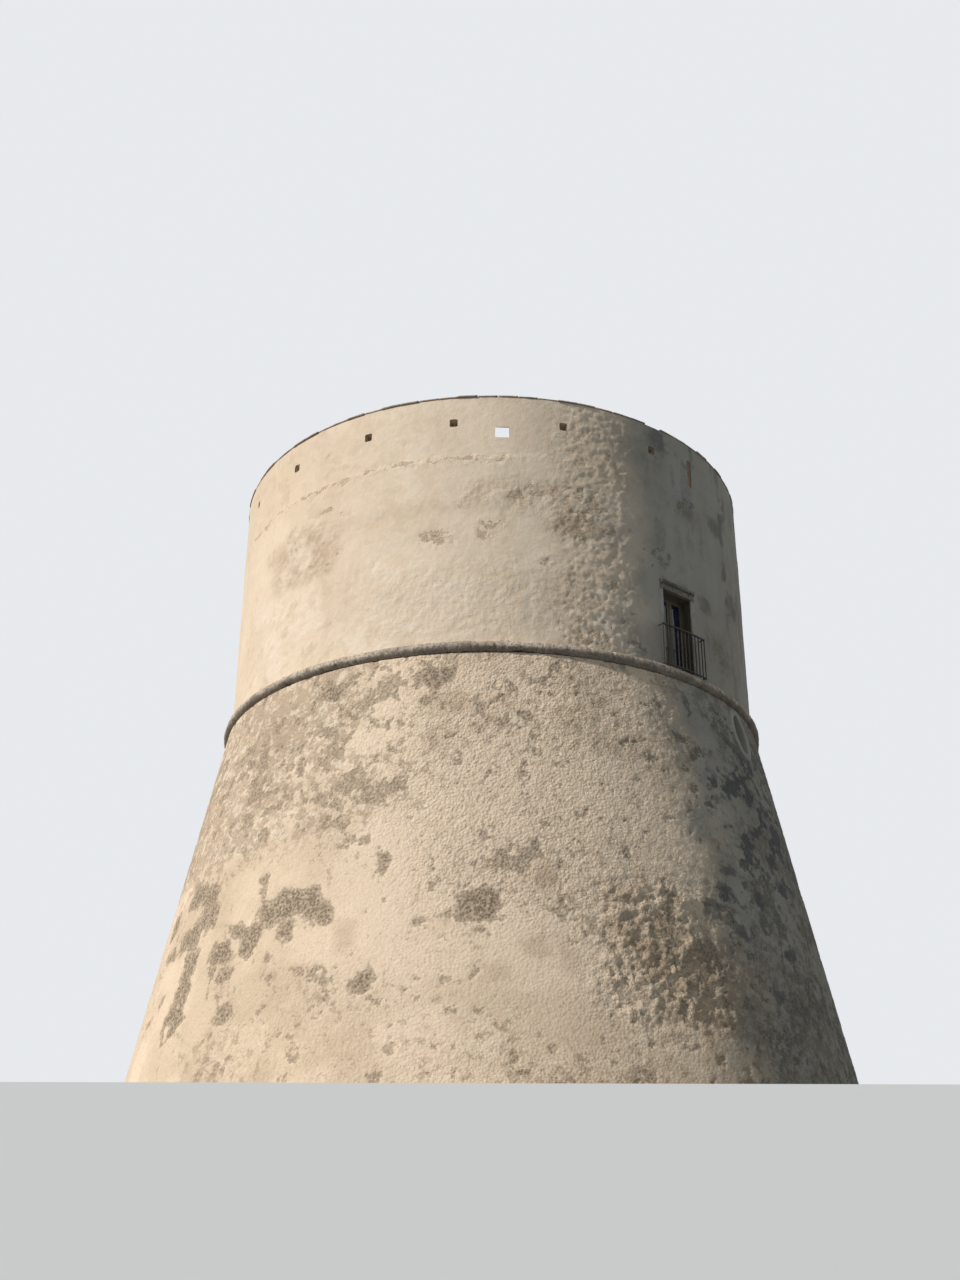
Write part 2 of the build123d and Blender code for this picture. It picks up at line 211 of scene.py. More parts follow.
# Places on the lower wall, read from the photograph: (azimuth, height, half width, half height)
LOST_COAT = [
    (-56.9, 5.10, 0.50, 0.30),
    (-51.8, 4.97, 0.38, 0.30),
    (-49.5, 4.42, 0.27, 0.42),
    (-52.3, 4.45, 0.22, 0.28),
    (-55.6, 4.05, 0.55, 0.28),
    (-53.3, 3.42, 0.43, 0.40),
    (-52.8, 2.75, 0.38, 0.42),
    (-53.9, 2.14, 0.52, 0.40),
    (-60.2, 2.75, 0.17, 0.33),
    (-65.1, 2.38, 0.28, 0.11),
    (-62.6, 3.88, 0.40, 0.22),
    (-66.0, 4.70, 0.35, 0.35),
    (-41.3, 3.96, 0.27, 0.14),
    (-44.1, 3.43, 0.38, 0.30),
    (-39.7, 3.78, 0.24, 0.16),
    (-37.9, 3.54, 0.30, 0.44),
    (-45.2, 2.92, 0.15, 0.22),
    (-41.9, 2.89, 0.24, 0.24),
    (-35.6, 4.15, 0.30, 0.33),
    (-31.5, 4.24, 0.46, 0.36),
    (-27.4, 4.22, 0.30, 0.37),
    (-24.6, 3.94, 0.22, 0.27),
    (-31.3, 3.68, 0.25, 0.22),
    (-40.0, 2.05, 0.27, 0.25),
    (-17.6, 2.28, 0.28, 0.22),
    (-33.6, 3.06, 0.10, 0.20),
    (-31.9, 2.70, 0.12, 0.08),
    (-37.7, 4.85, 0.13, 0.32),
    (-16.4, 4.93, 0.14, 0.25),
    (-27.4, 5.34, 0.12, 0.09),
    (-23.8, 6.00, 0.10, 0.09),
    (-27.6, 6.10, 0.17, 0.13),
    (-1.6, 3.92, 0.48, 0.36),
    (-31.5, 9.48, 0.34, 0.24),
    (-10.0, 9.47, 0.48, 0.26),
    (-6.6, 3.72, 0.20, 0.12),
]
WORN_COAT = [
    (-10.7, 4.42, 0.85, 0.24),
    (-17.4, 4.05, 0.42, 0.42),
    (-15.0, 3.35, 0.55, 0.22),
    (-13.0, 5.35, 0.60, 0.25),
    (-19.7, 8.42, 0.45, 0.26),
    (-18.0, 9.25, 0.34, 0.32),
    (-18.5, 6.85, 1.00, 0.55),
    (-30.0, 6.40, 0.90, 0.60),
    (-30.5, 8.10, 0.90, 0.80),
    (-23.0, 5.60, 0.80, 0.25),
    (3.5, 5.00, 0.60, 0.45),
    (-28.0, 1.20, 0.80, 0.40),
    (-12.0, 8.70, 0.50, 0.30),
    (10.0, 5.00, 0.55, 0.35),
]
KEPT_COAT = [
    (-57.4, 4.52, 0.42, 0.20),
    (-60.5, 3.33, 0.60, 0.45),
    (-57.2, 3.30, 0.30, 0.40),
    (-58.4, 2.41, 0.28, 0.38),
    (-54.9, 1.97, 0.13, 0.13),
    (-48.7, 3.45, 0.24, 0.62),
    (-47.5, 2.45, 0.45, 0.50),
    (-45.1, 2.00, 0.45, 0.50),
    (-42.5, 4.95, 0.60, 0.42),
    (-43.0, 4.37, 0.52, 0.24),
    (-34.2, 3.52, 0.16, 0.22),
    (-24.0, 3.20, 0.95, 0.45),
    (-21.0, 3.80, 0.30, 0.40),
    (-37.4, 2.84, 0.42, 0.22),
    (-35.0, 2.30, 0.45, 0.35),
    (-31.8, 4.90, 0.38, 0.22),
    (-11.8, 4.93, 0.48, 0.24),
    (-7.2, 4.00, 0.24, 0.24),
    (-17.5, 5.85, 0.22, 0.24),
    (-47.2, 5.65, 0.34, 0.20),
    (-20.5, 8.06, 0.65, 0.17),
    (-19.0, 8.84, 0.36, 0.18),
    (-3.0, 9.56, 0.38, 0.27),
    (-6.0, 6.06, 0.50, 0.50),
    (1.8, 3.28, 0.27, 0.27),
    (4.4, 2.55, 0.90, 0.45),
    (-8.0, 2.75, 0.90, 0.40),
    (25.7, 5.10, 0.38, 0.32),
    (42.2, 4.87, 0.26, 0.28),
    (42.5, 8.75, 0.50, 0.40),
    (36.5, 9.00, 0.40, 0.50),
    (51.5, 7.05, 0.55, 0.30),
]
DARK_SPOTS = [
    (38.5, 4.76, 0.16, 0.22),
    (40.5, 5.30, 0.28, 0.18),
    (40.5, 3.90, 0.22, 0.22),
    (53.0, 3.60, 0.30, 0.22),
    (46.2, 2.55, 0.30, 0.16),
    (35.2, 4.20, 0.25, 0.30),
    (39.5, 9.35, 0.11, 0.50),
    (47.5, 4.75, 0.13, 0.13),
    (57.0, 5.30, 0.34, 0.14),
    (62.0, 5.35, 0.25, 0.15),
    (24.2, 7.10, 0.13, 0.11),
]
BROWN_SPOTS = [
    (18.2, 4.20, 0.28, 0.28),
    (10.3, 2.85, 0.15, 0.27),
    (26.0, 3.60, 0.36, 0.34),
    (27.2, 4.35, 0.20, 0.18),
    (18.8, 3.40, 0.42, 0.40),
    (22.5, 2.90, 0.40, 0.40),
    (-21.0, 3.40, 0.22, 0.38),
    (-8.2, 8.80, 0.46, 0.34),
    (8.0, 4.60, 0.20, 0.20),
    (31.0, 2.90, 0.30, 0.40),
    (0.8, 2.45, 0.30, 0.22),
    (6.0, 3.00, 0.25, 0.20),
]

# Painted shade: the colour of the side away from the sun is darkened to a grey, beginning about where the sun's light
# ends
PAINTED_SHADE_AZ = (27.0, 150.0)
SCARP_PAINTED_SHADE_SHIFT = 7.0


def painted_shade_at(az, z, points):
    """Painted shade on the side away from the sun, a grey darkening with a ragged border."""
    middle = (PAINTED_SHADE_AZ[0] + PAINTED_SHADE_AZ[1]) / 2
    half = (PAINTED_SHADE_AZ[1] - PAINTED_SHADE_AZ[0]) / 2
    off = wrap(az - middle - SCARP_PAINTED_SHADE_SHIFT * (z <= CORDON_LOW_Z))
    fade = np.where(off > 0, 36.0, 12.0)
    return smooth((half - np.abs(off)) / fade + 1.2 * (fractal(points, 0.9, 4, 701) - 0.5), -0.5, 0.8)


def scarp_fields(points):
    """Weathering of the lower wall: what is lost, how rough it is, and its stains, each from 0 to 1, with painted
    shade on the side away from the sun and under the cordon, and painted light on the middle of the front.
    """
    az = azimuth_of(points)
    z = points[:, 2]
    radius = BASE_RADIUS - BATTER * z
    large = fractal(points, 2.2, 3, 11)
    medium = fractal(points, 0.75, 4, 23)
    small = fractal(points, 0.24, 4, 37, 0.7)
    moved = shifted(shifted(points, 0.34, 0.55, 3, 50), 0.20, 0.16, 3, 80)
    moved_az = azimuth_of(moved)
    upper_left = zone(az, z, (-110, -26), (5.5, 10.4), (14, 1.4))
    lower_left = zone(az, z, (-72, -14), (-1, 5.6), (10, 0.9))
    pebbly = zone(az, z, (-14, 38), (4.2, 10.4), (14, 1.2))
    rubble = zone(az, z, (14, 35), (1.6, 4.6), (9, 0.9))
    shade = zone(az, z, (33, 190), (-1, 10.4), (10, 1.0))
    lichen = zone(az, z, (42, 66), (5.8, 8.5), (12, 1.6))
    calm = zone(az, z, (-14, 16), (1.0, 3.4), (10, 0.9))

    cover = 0.27 + 0.06 * upper_left - 0.16 * lower_left - 0.07 * pebbly - 0.04 * rubble
    cover += 0.10 * shade - 0.08 * calm + 0.35 * (large - 0.5)
    cover += 0.22 * smooth(depth_in(moved_az, moved[:, 2], radius, WORN_COAT), -0.10, 0.12)
    mottle = 0.35 * medium + 0.65 * small
    loss = np.clip(0.5 + (mottle - 0.5) * 4.0 - (0.5 - cover) * 1.5, 0, 0.66)
    cut = depth_in(moved_az, moved[:, 2], radius, LOST_COAT)
    kept = depth_in(moved_az, moved[:, 2], radius, KEPT_COAT)
    loss = np.maximum(loss, np.clip(0.5 + 4.0 * cut + 0.9 * (small - 0.5), 0, 1))
    loss = np.minimum(loss, np.clip(0.5 - 4.5 * kept + 0.6 * (small - 0.5), 0, 1))

    mottled = 0.42 + 0.45 * upper_left - 0.08 * pebbly + 0.12 * rubble - 0.22 * lower_left - 0.15 * calm
    mottled += 0.20 * shade + 0.9 * (large - 0.5) - 0.5 * smooth(kept, -0.10, 0.10)
    rough = 0.35 + 0.25 * upper_left + 0.45 * pebbly + 0.65 * rubble - 0.2 * lower_left - 0.2 * calm
    rough = np.clip(rough + 0.15 * shade + 0.6 * (large - 0.5), 0.05, 1)
    spots = depth_in(moved_az, moved[:, 2], radius, DARK_SPOTS)
    grey = 0.95 * lichen * smooth(0.5 * medium + 0.5 * small, 0.44, 0.58)
    grey += 0.35 * shade * smooth(0.5 * medium + 0.5 * small, 0.52, 0.64) + 0.8 * smooth(spots, -0.06, 0.08)
    drips = fractal(points * (1, 1, 0.14), 0.20, 3, 71)
    under_cordon = smooth(z, CORDON_LOW_Z - 1.1, CORDON_LOW_Z)
    grey += 0.55 * under_cordon * smooth(drips, 0.60, 0.76) * smooth(small, 0.40, 0.60)
    # Painted shade: a darker band just under the cordon's overhang, all around.
    grey += 0.20 * smooth(z, CORDON_LOW_Z - 0.25, CORDON_LOW_Z - 0.02)
    grey *= smooth(kept, 0.10, -0.06)
    brown_spots = depth_in(moved_az, moved[:, 2], radius, BROWN_SPOTS)
    brown = 0.55 * smooth(brown_spots, -0.16, 0.12) + 0.12 * rubble * smooth(medium, 0.46, 0.60)
    brown += 0.30 * smooth(large, 0.54, 0.70)
    pale = smooth(fractal(points, 1.3, 4, 91), 0.52, 0.66) * (1 - 0.6 * shade)
    # Painted light: paler over the middle of the front, where the sun's light weakens towards the shade.
    pale += 0.9 * zone(az, z, (-22, 30), (2.2, 10.4), (16, 1.5))
    return {
        "loss": loss,
        "rough": rough,
        "grey": np.clip(grey, 0, 1),
        "brown": np.clip(brown, 0, 1),
        "pale": np.clip(pale + 0.5 * smooth(kept, -0.05, 0.12), 0, 1),
        "mottled": np.clip(mottled, 0, 1),
        # painted shade on the side away from the sun
        "painted_shade": painted_shade_at(az, z, points),
        "rubble": rubble,
    }


def scarp_thickness(points, fields):
    """Thickness of the lower wall's coat over the masonry."""
    lost = smooth(fields["loss"], 0.44, 0.58)
    body = 0.026 + 0.008 * (fractal(points, 1.6, 2, 101) - 0.5)
    stones = 0.5 - cell_distance(points, 0.17, 113)
    pebbles = 0.5 - cell_distance(points, 0.085, 127)
    lumps = fractal(points, 0.13, 2, 131) - 0.5
    relief = fields["rough"] * (0.020 * pebbles + 0.030 * lumps)
    broken = fractal(shifted(points, 0.25, 0.3, 2, 141), 0.34, 5, 151, 0.72) - 0.5
    relief += fields["rubble"] * (0.026 * stones + 0.230 * broken)
    under = 0.010 + 0.014 * stones * lost + 0.006 * pebbles
    thickness = body * (1 - lost) + under * lost + relief
    z = points[:, 2]
    return np.minimum(np.clip(thickness, 0.001, 0.085), BATTER * z - FOOT_INSET)


DRUM_PITTED = [
    (-46.1, 14.48, 0.11, 0.09),
    (-43.3, 14.17, 0.08, 0.07),
    (-36.0, 14.58, 0.22, 0.08),
    (-30.8, 14.35, 0.15, 0.11),
    (-20.2, 14.63, 0.11, 0.06),
    (-5.6, 14.07, 0.13, 0.09),
    (-10.7, 13.20, 0.42, 0.20),
    (-0.8, 13.35, 0.28, 0.26),
    (-32.3, 13.30, 0.11, 0.08),
    (-35.4, 12.98, 0.09, 0.11),
    (-24.3, 12.74, 0.08, 0.07),
    (-17.7, 15.90, 0.07, 0.06),
    (-35.9, 16.15, 0.11, 0.07),
    (-51.3, 16.15, 0.07, 0.11),
    (-25.4, 15.53, 0.12, 0.05),
    (12.8, 14.57, 0.11, 0.10),
    (6.4, 14.40, 0.36, 0.17),
    (18.5, 14.20, 0.42, 0.32),
    (15.9, 13.40, 0.27, 0.14),
    (10.8, 12.60, 0.13, 0.12),
    (1.2, 13.50, 0.22, 0.13),
    (25.0, 14.60, 0.16, 0.11),
    (44.5, 15.25, 0.50, 0.26),
    (36.5, 13.30, 0.50, 0.25),
    (29.5, 10.62, 0.36, 0.15),
    (20.0, 10.70, 0.50, 0.15),
]
DRUM_BROWN = [
    (-43.0, 13.60, 1.25, 0.85),
    (-2.5, 14.40, 0.40, 0.28),
    (7.0, 14.30, 0.70, 0.50),
    (16.5, 14.00, 0.80, 0.75),
    (45.0, 14.95, 0.60, 0.30),
    (55.0, 11.40, 0.60, 0.50),
]
DRUM_DARK = [
    (42.0, 16.75, 1.05, 0.28),
    (64.0, 13.60, 0.55, 0.70),
    (62.0, 16.00, 0.30, 0.60),
    (50.5, 12.60, 0.25, 0.22),
    (58.0, 15.20, 0.50, 0.25),
]


STEP_LINE_Z = 15.42


def step_edge(points):
    """Height of the ragged lower edge of the older coat that ends under the terrace holes."""
    edge = STEP_LINE_Z + 0.42 * (fractal(points * (1, 1, 0.3), 0.8, 5, 301, 0.65) - 0.5)
    return edge - 0.10 * smooth(azimuth_of(points), -25, -45)


def step_strength(az, z):
    """How clearly the edge of the older coat shows."""
    return 0.25 + 0.75 * zone(az, z, (-66, 4), (14, 17), (8, 0.5))


def drum_fields(points):
    """Weathering of the upper wall and the terrace wall, with painted shade on the side away from the sun and at the
    foot over the cordon, and painted light on the middle of the front.
    """
    az = azimuth_of(points)
    z = points[:, 2]
    large = fractal(points, 2.0, 3, 211)
    medium = fractal(points, 0.7, 4, 223)
    small = fractal(points, 0.24, 4, 237, 0.7)
    moved = shifted(shifted(points, 0.28, 0.45, 3, 250), 0.14, 0.12, 3, 280)
    moved_az = azimuth_of(moved)
    rough_band = zone(az, z, (14, 31), (10.4, 17.1), (9, 0.4))
    low_right = zone(az, z, (-24, 28), (10.4, 12.4), (10, 0.9))
    low_left = zone(az, z, (-64, -22), (10.4, 12.8), (12, 0.9))
    shade = zone(az, z, (31, 190), (10, 17.2), (10, 0.6))
    pitted = depth_in(moved_az, moved[:, 2], DRUM_RADIUS, DRUM_PITTED)
    speckled = smooth(depth_in(moved_az, moved[:, 2], DRUM_RADIUS, DRUM_BROWN), -0.25, 0.35)
    loss = 0.10 + 0.85 * smooth(pitted, -0.05, 0.05) * smooth(small, 0.44, 0.56)
    loss += 0.40 * speckled * smooth(small, 0.50, 0.62)
    loss += 0.45 * rough_band * smooth(small, 0.52, 0.66) + 0.30 * low_right * smooth(small, 0.54, 0.68)
    loss += 0.15 * smooth(small, 0.64, 0.74)
    rough = 0.14 + 0.75 * rough_band + 0.40 * low_right + 0.24 * low_left + 0.60 * speckled + 0.08 * shade
    brown = 0.85 * speckled * smooth(medium, 0.32, 0.56) + 0.25 * smooth(large, 0.50, 0.70)
    drips = fractal(points * (1, 1, 0.10), 0.26, 3, 271)
    grey = 0.35 * smooth(z, PARAPET_TOP_Z - 0.8, PARAPET_TOP_Z) * smooth(drips, 0.50, 0.70)
    grey += shade * (0.16 * smooth(medium, 0.44, 0.64) + 0.30 * smooth(drips, 0.50, 0.68))
    dark = depth_in(moved_az, moved[:, 2], DRUM_RADIUS, DRUM_DARK)
    grey += 0.55 * smooth(dark, -0.20, 0.15) * smooth(0.5 * medium + 0.5 * small, 0.40, 0.56)
    # Painted shade: darker patches in the corner at the drum's foot, just over the cordon.
    foot = smooth(z, CORDON_TOP_Z + 0.30, CORDON_TOP_Z)
    grey += 0.30 * foot * smooth(medium, 0.38, 0.60)
    pale = smooth(fractal(points, 0.9, 4, 291), 0.48, 0.62)
    rough += 0.5 * smooth(pitted, -0.12, 0.06)
    pale = pale * (0.25 + 0.75 * low_right + 0.60 * low_left) * (1 - 0.7 * shade)
    mottled = 0.22 + 0.45 * low_right + 0.30 * low_left + 0.50 * rough_band + 0.45 * speckled + 0.10 * shade
    below = step_edge(points) - z
    line = np.exp(-((below / 0.040) ** 2)) * step_strength(az, z)
    brown = np.maximum(brown, 0.7 * line * smooth(small, 0.42, 0.54))
    flaked = smooth(below, -0.10, 0.0) * smooth(below, 0.12 + 0.45 * medium, 0.02) * step_strength(az, z)
    loss += 0.75 * flaked * smooth(small, 0.49, 0.57)
    rough += 0.70 * flaked
    # Painted light: paler over the middle of the front, where the sun's light weakens towards the shade.
    pale += 0.55 * zone(az, z, (-28, 24), (10, 17.2), (16, 1.0))
    pale += 0.9 * smooth(depth_in(moved_az, moved[:, 2], DRUM_RADIUS, DRUM_PITTED[-4:]), -0.05, 0.06)
    return {
        "loss": np.clip(loss, 0, 1),
        "rough": np.clip(rough, 0, 1),
        "grey": np.clip(grey, 0, 1),
        "brown": np.clip(brown, 0, 1),
        "pale": np.clip(pale, 0, 1),
        "mottled": np.clip(mottled + 0.7 * (large - 0.5), 0, 1),
        # painted shade on the side away from the sun
        "painted_shade": painted_shade_at(az, z, points),
    }


def drum_thickness(points, fields):
    """Thickness of the upper wall's coat, with the ragged edge of an older coat under the terrace holes."""
    z = points[:, 2]
    lost = smooth(fields["loss"], 0.40, 0.62)
    step = 0.034 * step_strength(azimuth_of(points), z) * smooth(step_edge(points) - z, -0.025, 0.025)
    pebbles = 0.5 - cell_distance(points, 0.10, 313)
    lumps = fractal(shifted(points, 0.10, 0.17, 2, 341), 0.175, 4, 323, 0.72) - 0.5
    waves = fractal(points, 1.1, 2, 331) - 0.5
    thickness = 0.016 + step + 0.014 * waves + fields["rough"] * (0.016 * pebbles + 0.074 * lumps)
    thickness -= 0.014 * lost * (0.5 + pebbles)
    return np.clip(thickness, 0.001, 0.060)


# Skins over the CAD walls


def outward(az):
    """Unit vectors that point away from the axis."""
    a = np.radians(az)
    return np.stack([np.sin(a), -np.cos(a), 0 * a], axis=1)


def on_wall(az, radius, z):
    """Points at azimuths, radii and heights."""
    return outward(az) * np.reshape(radius, (-1, 1)) + np.stack([0 * az, 0 * az, z], axis=1)


def grid_faces(columns, rows, closed):
    """Quads of a grid whose rows are stored one after another, and each quad's column and row."""
    column, row = [index.ravel() for index in np.meshgrid(np.arange(columns), np.arange(rows))]
    width = columns if closed else columns + 1
    after = (column + 1) % width
    faces = np.stack(
        [row * width + column, row * width + after, (row + 1) * width + after, (row + 1) * width + column],
        axis=1,
    )
    return faces, column, row


def border_edges(faces):
    """Edges that belong to one face only, and the number of that face."""
    edges = np.concatenate([faces[:, [i, (i + 1) % 4]] for i in range(4)])
    owner = np.tile(np.arange(len(faces)), 4)
    low, high = edges.min(axis=1), edges.max(axis=1)
    _, index, count = np.unique(low * (faces.max() + 1) + high, return_inverse=True, return_counts=True)
    single = count[index] == 1
    return edges[single], owner[single]


def vertex_normals(points, faces):
    """Normals of all vertices, so that pieces cut from one surface shade as one."""
    a, b, c, d = [points[faces[:, i]] for i in range(4)]
    face_normal = np.cross(c - a, d - b)
    total = np.stack(
        [
            np.bincount(faces.ravel(), np.repeat(face_normal[:, k], 4), minlength=len(points))
            for k in range(3)
        ],
        axis=1,
    )
    return total / np.maximum(np.linalg.norm(total, axis=1, keepdims=True), 1e-12)


def add_piece(name, points, faces, slot, normals=None, fields=None):
    """A mesh object made of some of the faces, with its finish."""
    used, local = np.unique(faces, return_inverse=True)
    mesh = bpy.data.meshes.new(name)
    mesh.from_pydata(points[used].tolist(), [], local.reshape(faces.shape).tolist())
    mesh.polygons.foreach_set("use_smooth", [True] * len(mesh.polygons))
    if fields:
        for field, values in fields.items():
            attribute = mesh.attributes.new(field, "FLOAT", "POINT")
            attribute.data.foreach_set("value", values[used].astype(np.float32))
    if normals is not None:
        mesh.normals_split_custom_set_from_vertices(normals[used].tolist())
    piece = bpy.data.objects.new(name, mesh)
    bpy.context.scene.collection.objects.link(piece)
    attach(piece, "root")
    dress(piece, MATERIALS[slot])
    return piece


def snap_to_outline(side, up, hole):
    """Nearest place on a hole's outline for points near it."""
    if hole["round"]:
        reach = np.maximum(np.hypot(side / hole["half_width"], up / hole["half_height"]), 1e-6)
        return side / reach, up / reach
    half_width, half_height = hole["half_width"], hole["half_height"]
    to_side = np.abs(half_width - np.abs(side)) <= np.abs(half_height - np.abs(up))
    new_side = np.where(to_side, np.sign(side) * half_width, np.clip(side, -half_width, half_width))
    new_up = np.where(to_side, np.clip(up, -half_height, half_height), np.sign(up) * half_height)
    return new_side, new_up


def in_hole(side, up, hole):
    """Whether points lie in a hole."""
    if hole["round"]:
        return np.hypot(side / hole["half_width"], up / hole["half_height"]) < 1
    return (np.abs(side) < hole["half_width"]) & (np.abs(up) < hole["half_height"])


def build_coat(name, z_range, wall_radius, fields_of, thickness_of, holes, slot):
    """A coat of render around the wall, a skin with relief whose edges turn in to the masonry."""
    segment_arc = 2 * math.pi / WALL_SEGMENTS * wall_radius(sum(z_range) / 2)
    segment_columns = round(segment_arc / COAT_CELL)
    columns = WALL_SEGMENTS * segment_columns
    rows = round((z_range[1] - z_range[0]) / COAT_CELL)
    faces, column, row = grid_faces(columns, rows, closed=True)
    pitch_az = 360.0 / columns
    pitch_z = (z_range[1] - z_range[0]) / rows
    az = WALL_JOINT_AZ + pitch_az * np.tile(np.arange(columns), rows + 1)
    heights = z_range[0] + pitch_z * np.repeat(np.arange(rows + 1), columns)
    middle_az = WALL_JOINT_AZ + pitch_az * (column + 0.5)
    middle_z = z_range[0] + pitch_z * (row + 0.5)

    keep = np.ones(len(faces), bool)
    for hole in holes:
        arc_per_degree = math.radians(wall_radius(hole["z"]))
        side = wrap(middle_az - hole["az"]) * arc_per_degree
        gone = in_hole(side, middle_z - hole["z"], hole)
        rim = np.intersect1d(faces[gone & keep], faces[~gone & keep])
        keep &= ~gone
        new_side, new_up = snap_to_outline(
            wrap(az[rim] - hole["az"]) * arc_per_degree, heights[rim] - hole["z"], hole
        )
        az[rim] = hole["az"] + new_side / arc_per_degree
        heights[rim] = np.clip(hole["z"] + new_up, *z_range)
    faces = faces[keep]
    segment = column[keep] // segment_columns

    ground = on_wall(az, wall_radius(heights), heights)
    fields = fields_of(ground)
    outer = ground + outward(az) * thickness_of(ground, fields)[:, None]
    normals = vertex_normals(outer, faces)
    tucked = ground - outward(az) * COAT_EDGE_TUCK
    edges, owner = border_edges(faces)
    skirt = np.stack([edges[:, 1], edges[:, 0], edges[:, 0] + len(outer), edges[:, 1] + len(outer)], axis=1)
    points = np.concatenate([outer, tucked])
    doubled = {field: np.tile(fields[field], 2) for field in COAT_FIELDS}
    for number in range(WALL_SEGMENTS):
        own = np.concatenate([faces[segment == number], skirt[segment[owner] == number]])
        add_piece(f"{name}_{number + 1}", points, own, slot, np.tile(normals, (2, 1)), doubled)


COAT_FIELDS = ("loss", "rough", "grey", "brown", "pale", "painted_shade", "mottled")


# Node materials


class Surface:
    """One node material, with short helpers for the nodes that it uses."""

    def __init__(self, name, roughness=0.9, metallic=0.0):
        self.material = bpy.data.materials.new(name)
        self.material.use_nodes = True
        self.tree = self.material.node_tree
        self.shader = self.tree.nodes["Principled BSDF"]
        self.shader.inputs["Roughness"].default_value = roughness
        self.shader.inputs["Metallic"].default_value = metallic
        self.place = self.tree.nodes.new("ShaderNodeTexCoord").outputs["Object"]

    def feed(self, socket, value):
        """Links a socket to another one, or sets its value."""
        if isinstance(value, bpy.types.NodeSocket):
            self.tree.links.new(value, socket)
        elif isinstance(value, tuple) and len(value) == 3 and socket.type == "RGBA":
            socket.default_value = (*value, 1.0)
        else:
            socket.default_value = value

    def stretched(self, scale):
        """Object coordinates scaled along the axes."""
        node = self.tree.nodes.new("ShaderNodeMapping")
        node.inputs["Scale"].default_value = scale
        self.feed(node.inputs["Vector"], self.place)
        return node.outputs["Vector"]

    def noise(self, size, detail=4.0, roughness=0.6, place=None, distortion=0.0):
        """Noise whose blobs have a size in metres."""
        node = self.tree.nodes.new("ShaderNodeTexNoise")
        self.feed(node.inputs["Vector"], self.place if place is None else place)
        node.inputs["Scale"].default_value = 1.0 / size
        node.inputs["Detail"].default_value = detail
        node.inputs["Roughness"].default_value = roughness
        node.inputs["Distortion"].default_value = distortion
        return node.outputs["Fac"]

    def cells(self, size, feature="F1", place=None):
        """Distance pattern of scattered cells with a size in metres."""
        node = self.tree.nodes.new("ShaderNodeTexVoronoi")
        node.feature = feature
        self.feed(node.inputs["Vector"], self.place if place is None else place)
        node.inputs["Scale"].default_value = 1.0 / size
        return node.outputs["Distance"]

    def attribute(self, name):
        """A weathering field stored on the mesh."""
        node = self.tree.nodes.new("ShaderNodeAttribute")
        node.attribute_name = name
        return node.outputs["Fac"]

    def math(self, operation, first, second=0.0):
        """One arithmetic step."""
        node = self.tree.nodes.new("ShaderNodeMath")
        node.operation = operation
        self.feed(node.inputs[0], first)
        self.feed(node.inputs[1], second)
        return node.outputs[0]

    def step(self, value, low, high):
        """Smooth step of a value from 0 at low to 1 at high."""
        node = self.tree.nodes.new("ShaderNodeMapRange")
        node.interpolation_type = "SMOOTHSTEP"
        self.feed(node.inputs["Value"], value)
        node.inputs["From Min"].default_value = low
        node.inputs["From Max"].default_value = high
        return node.outputs["Result"]

    def mix(self, factor, first, second, mode="MIX"):
        """Blend of two colours."""
        node = self.tree.nodes.new("ShaderNodeMix")
        node.data_type = "RGBA"
        node.blend_type = mode
        self.feed(node.inputs["Factor"], factor)
        self.feed(node.inputs[6], first)
        self.feed(node.inputs[7], second)
        return node.outputs[2]

    def bump(self, height, distance, strength=1.0, normal=None):
        """Bump from a height pattern, in metres at a height of 1."""
        node = self.tree.nodes.new("ShaderNodeBump")
        node.inputs["Distance"].default_value = distance
        self.feed(node.inputs["Strength"], strength)
        self.feed(node.inputs["Height"], height)
        if normal is not None:
            self.feed(node.inputs["Normal"], normal)
        return node.outputs["Normal"]

    def finish(self, colour, normal=None, roughness=None):
        """Connects the finished colour, normal and roughness to the shader."""
        self.feed(self.shader.inputs["Base Color"], colour)
        if normal is not None:
            self.feed(self.shader.inputs["Normal"], normal)
        if roughness is not None:
            self.feed(self.shader.inputs["Roughness"], roughness)
        return self.material


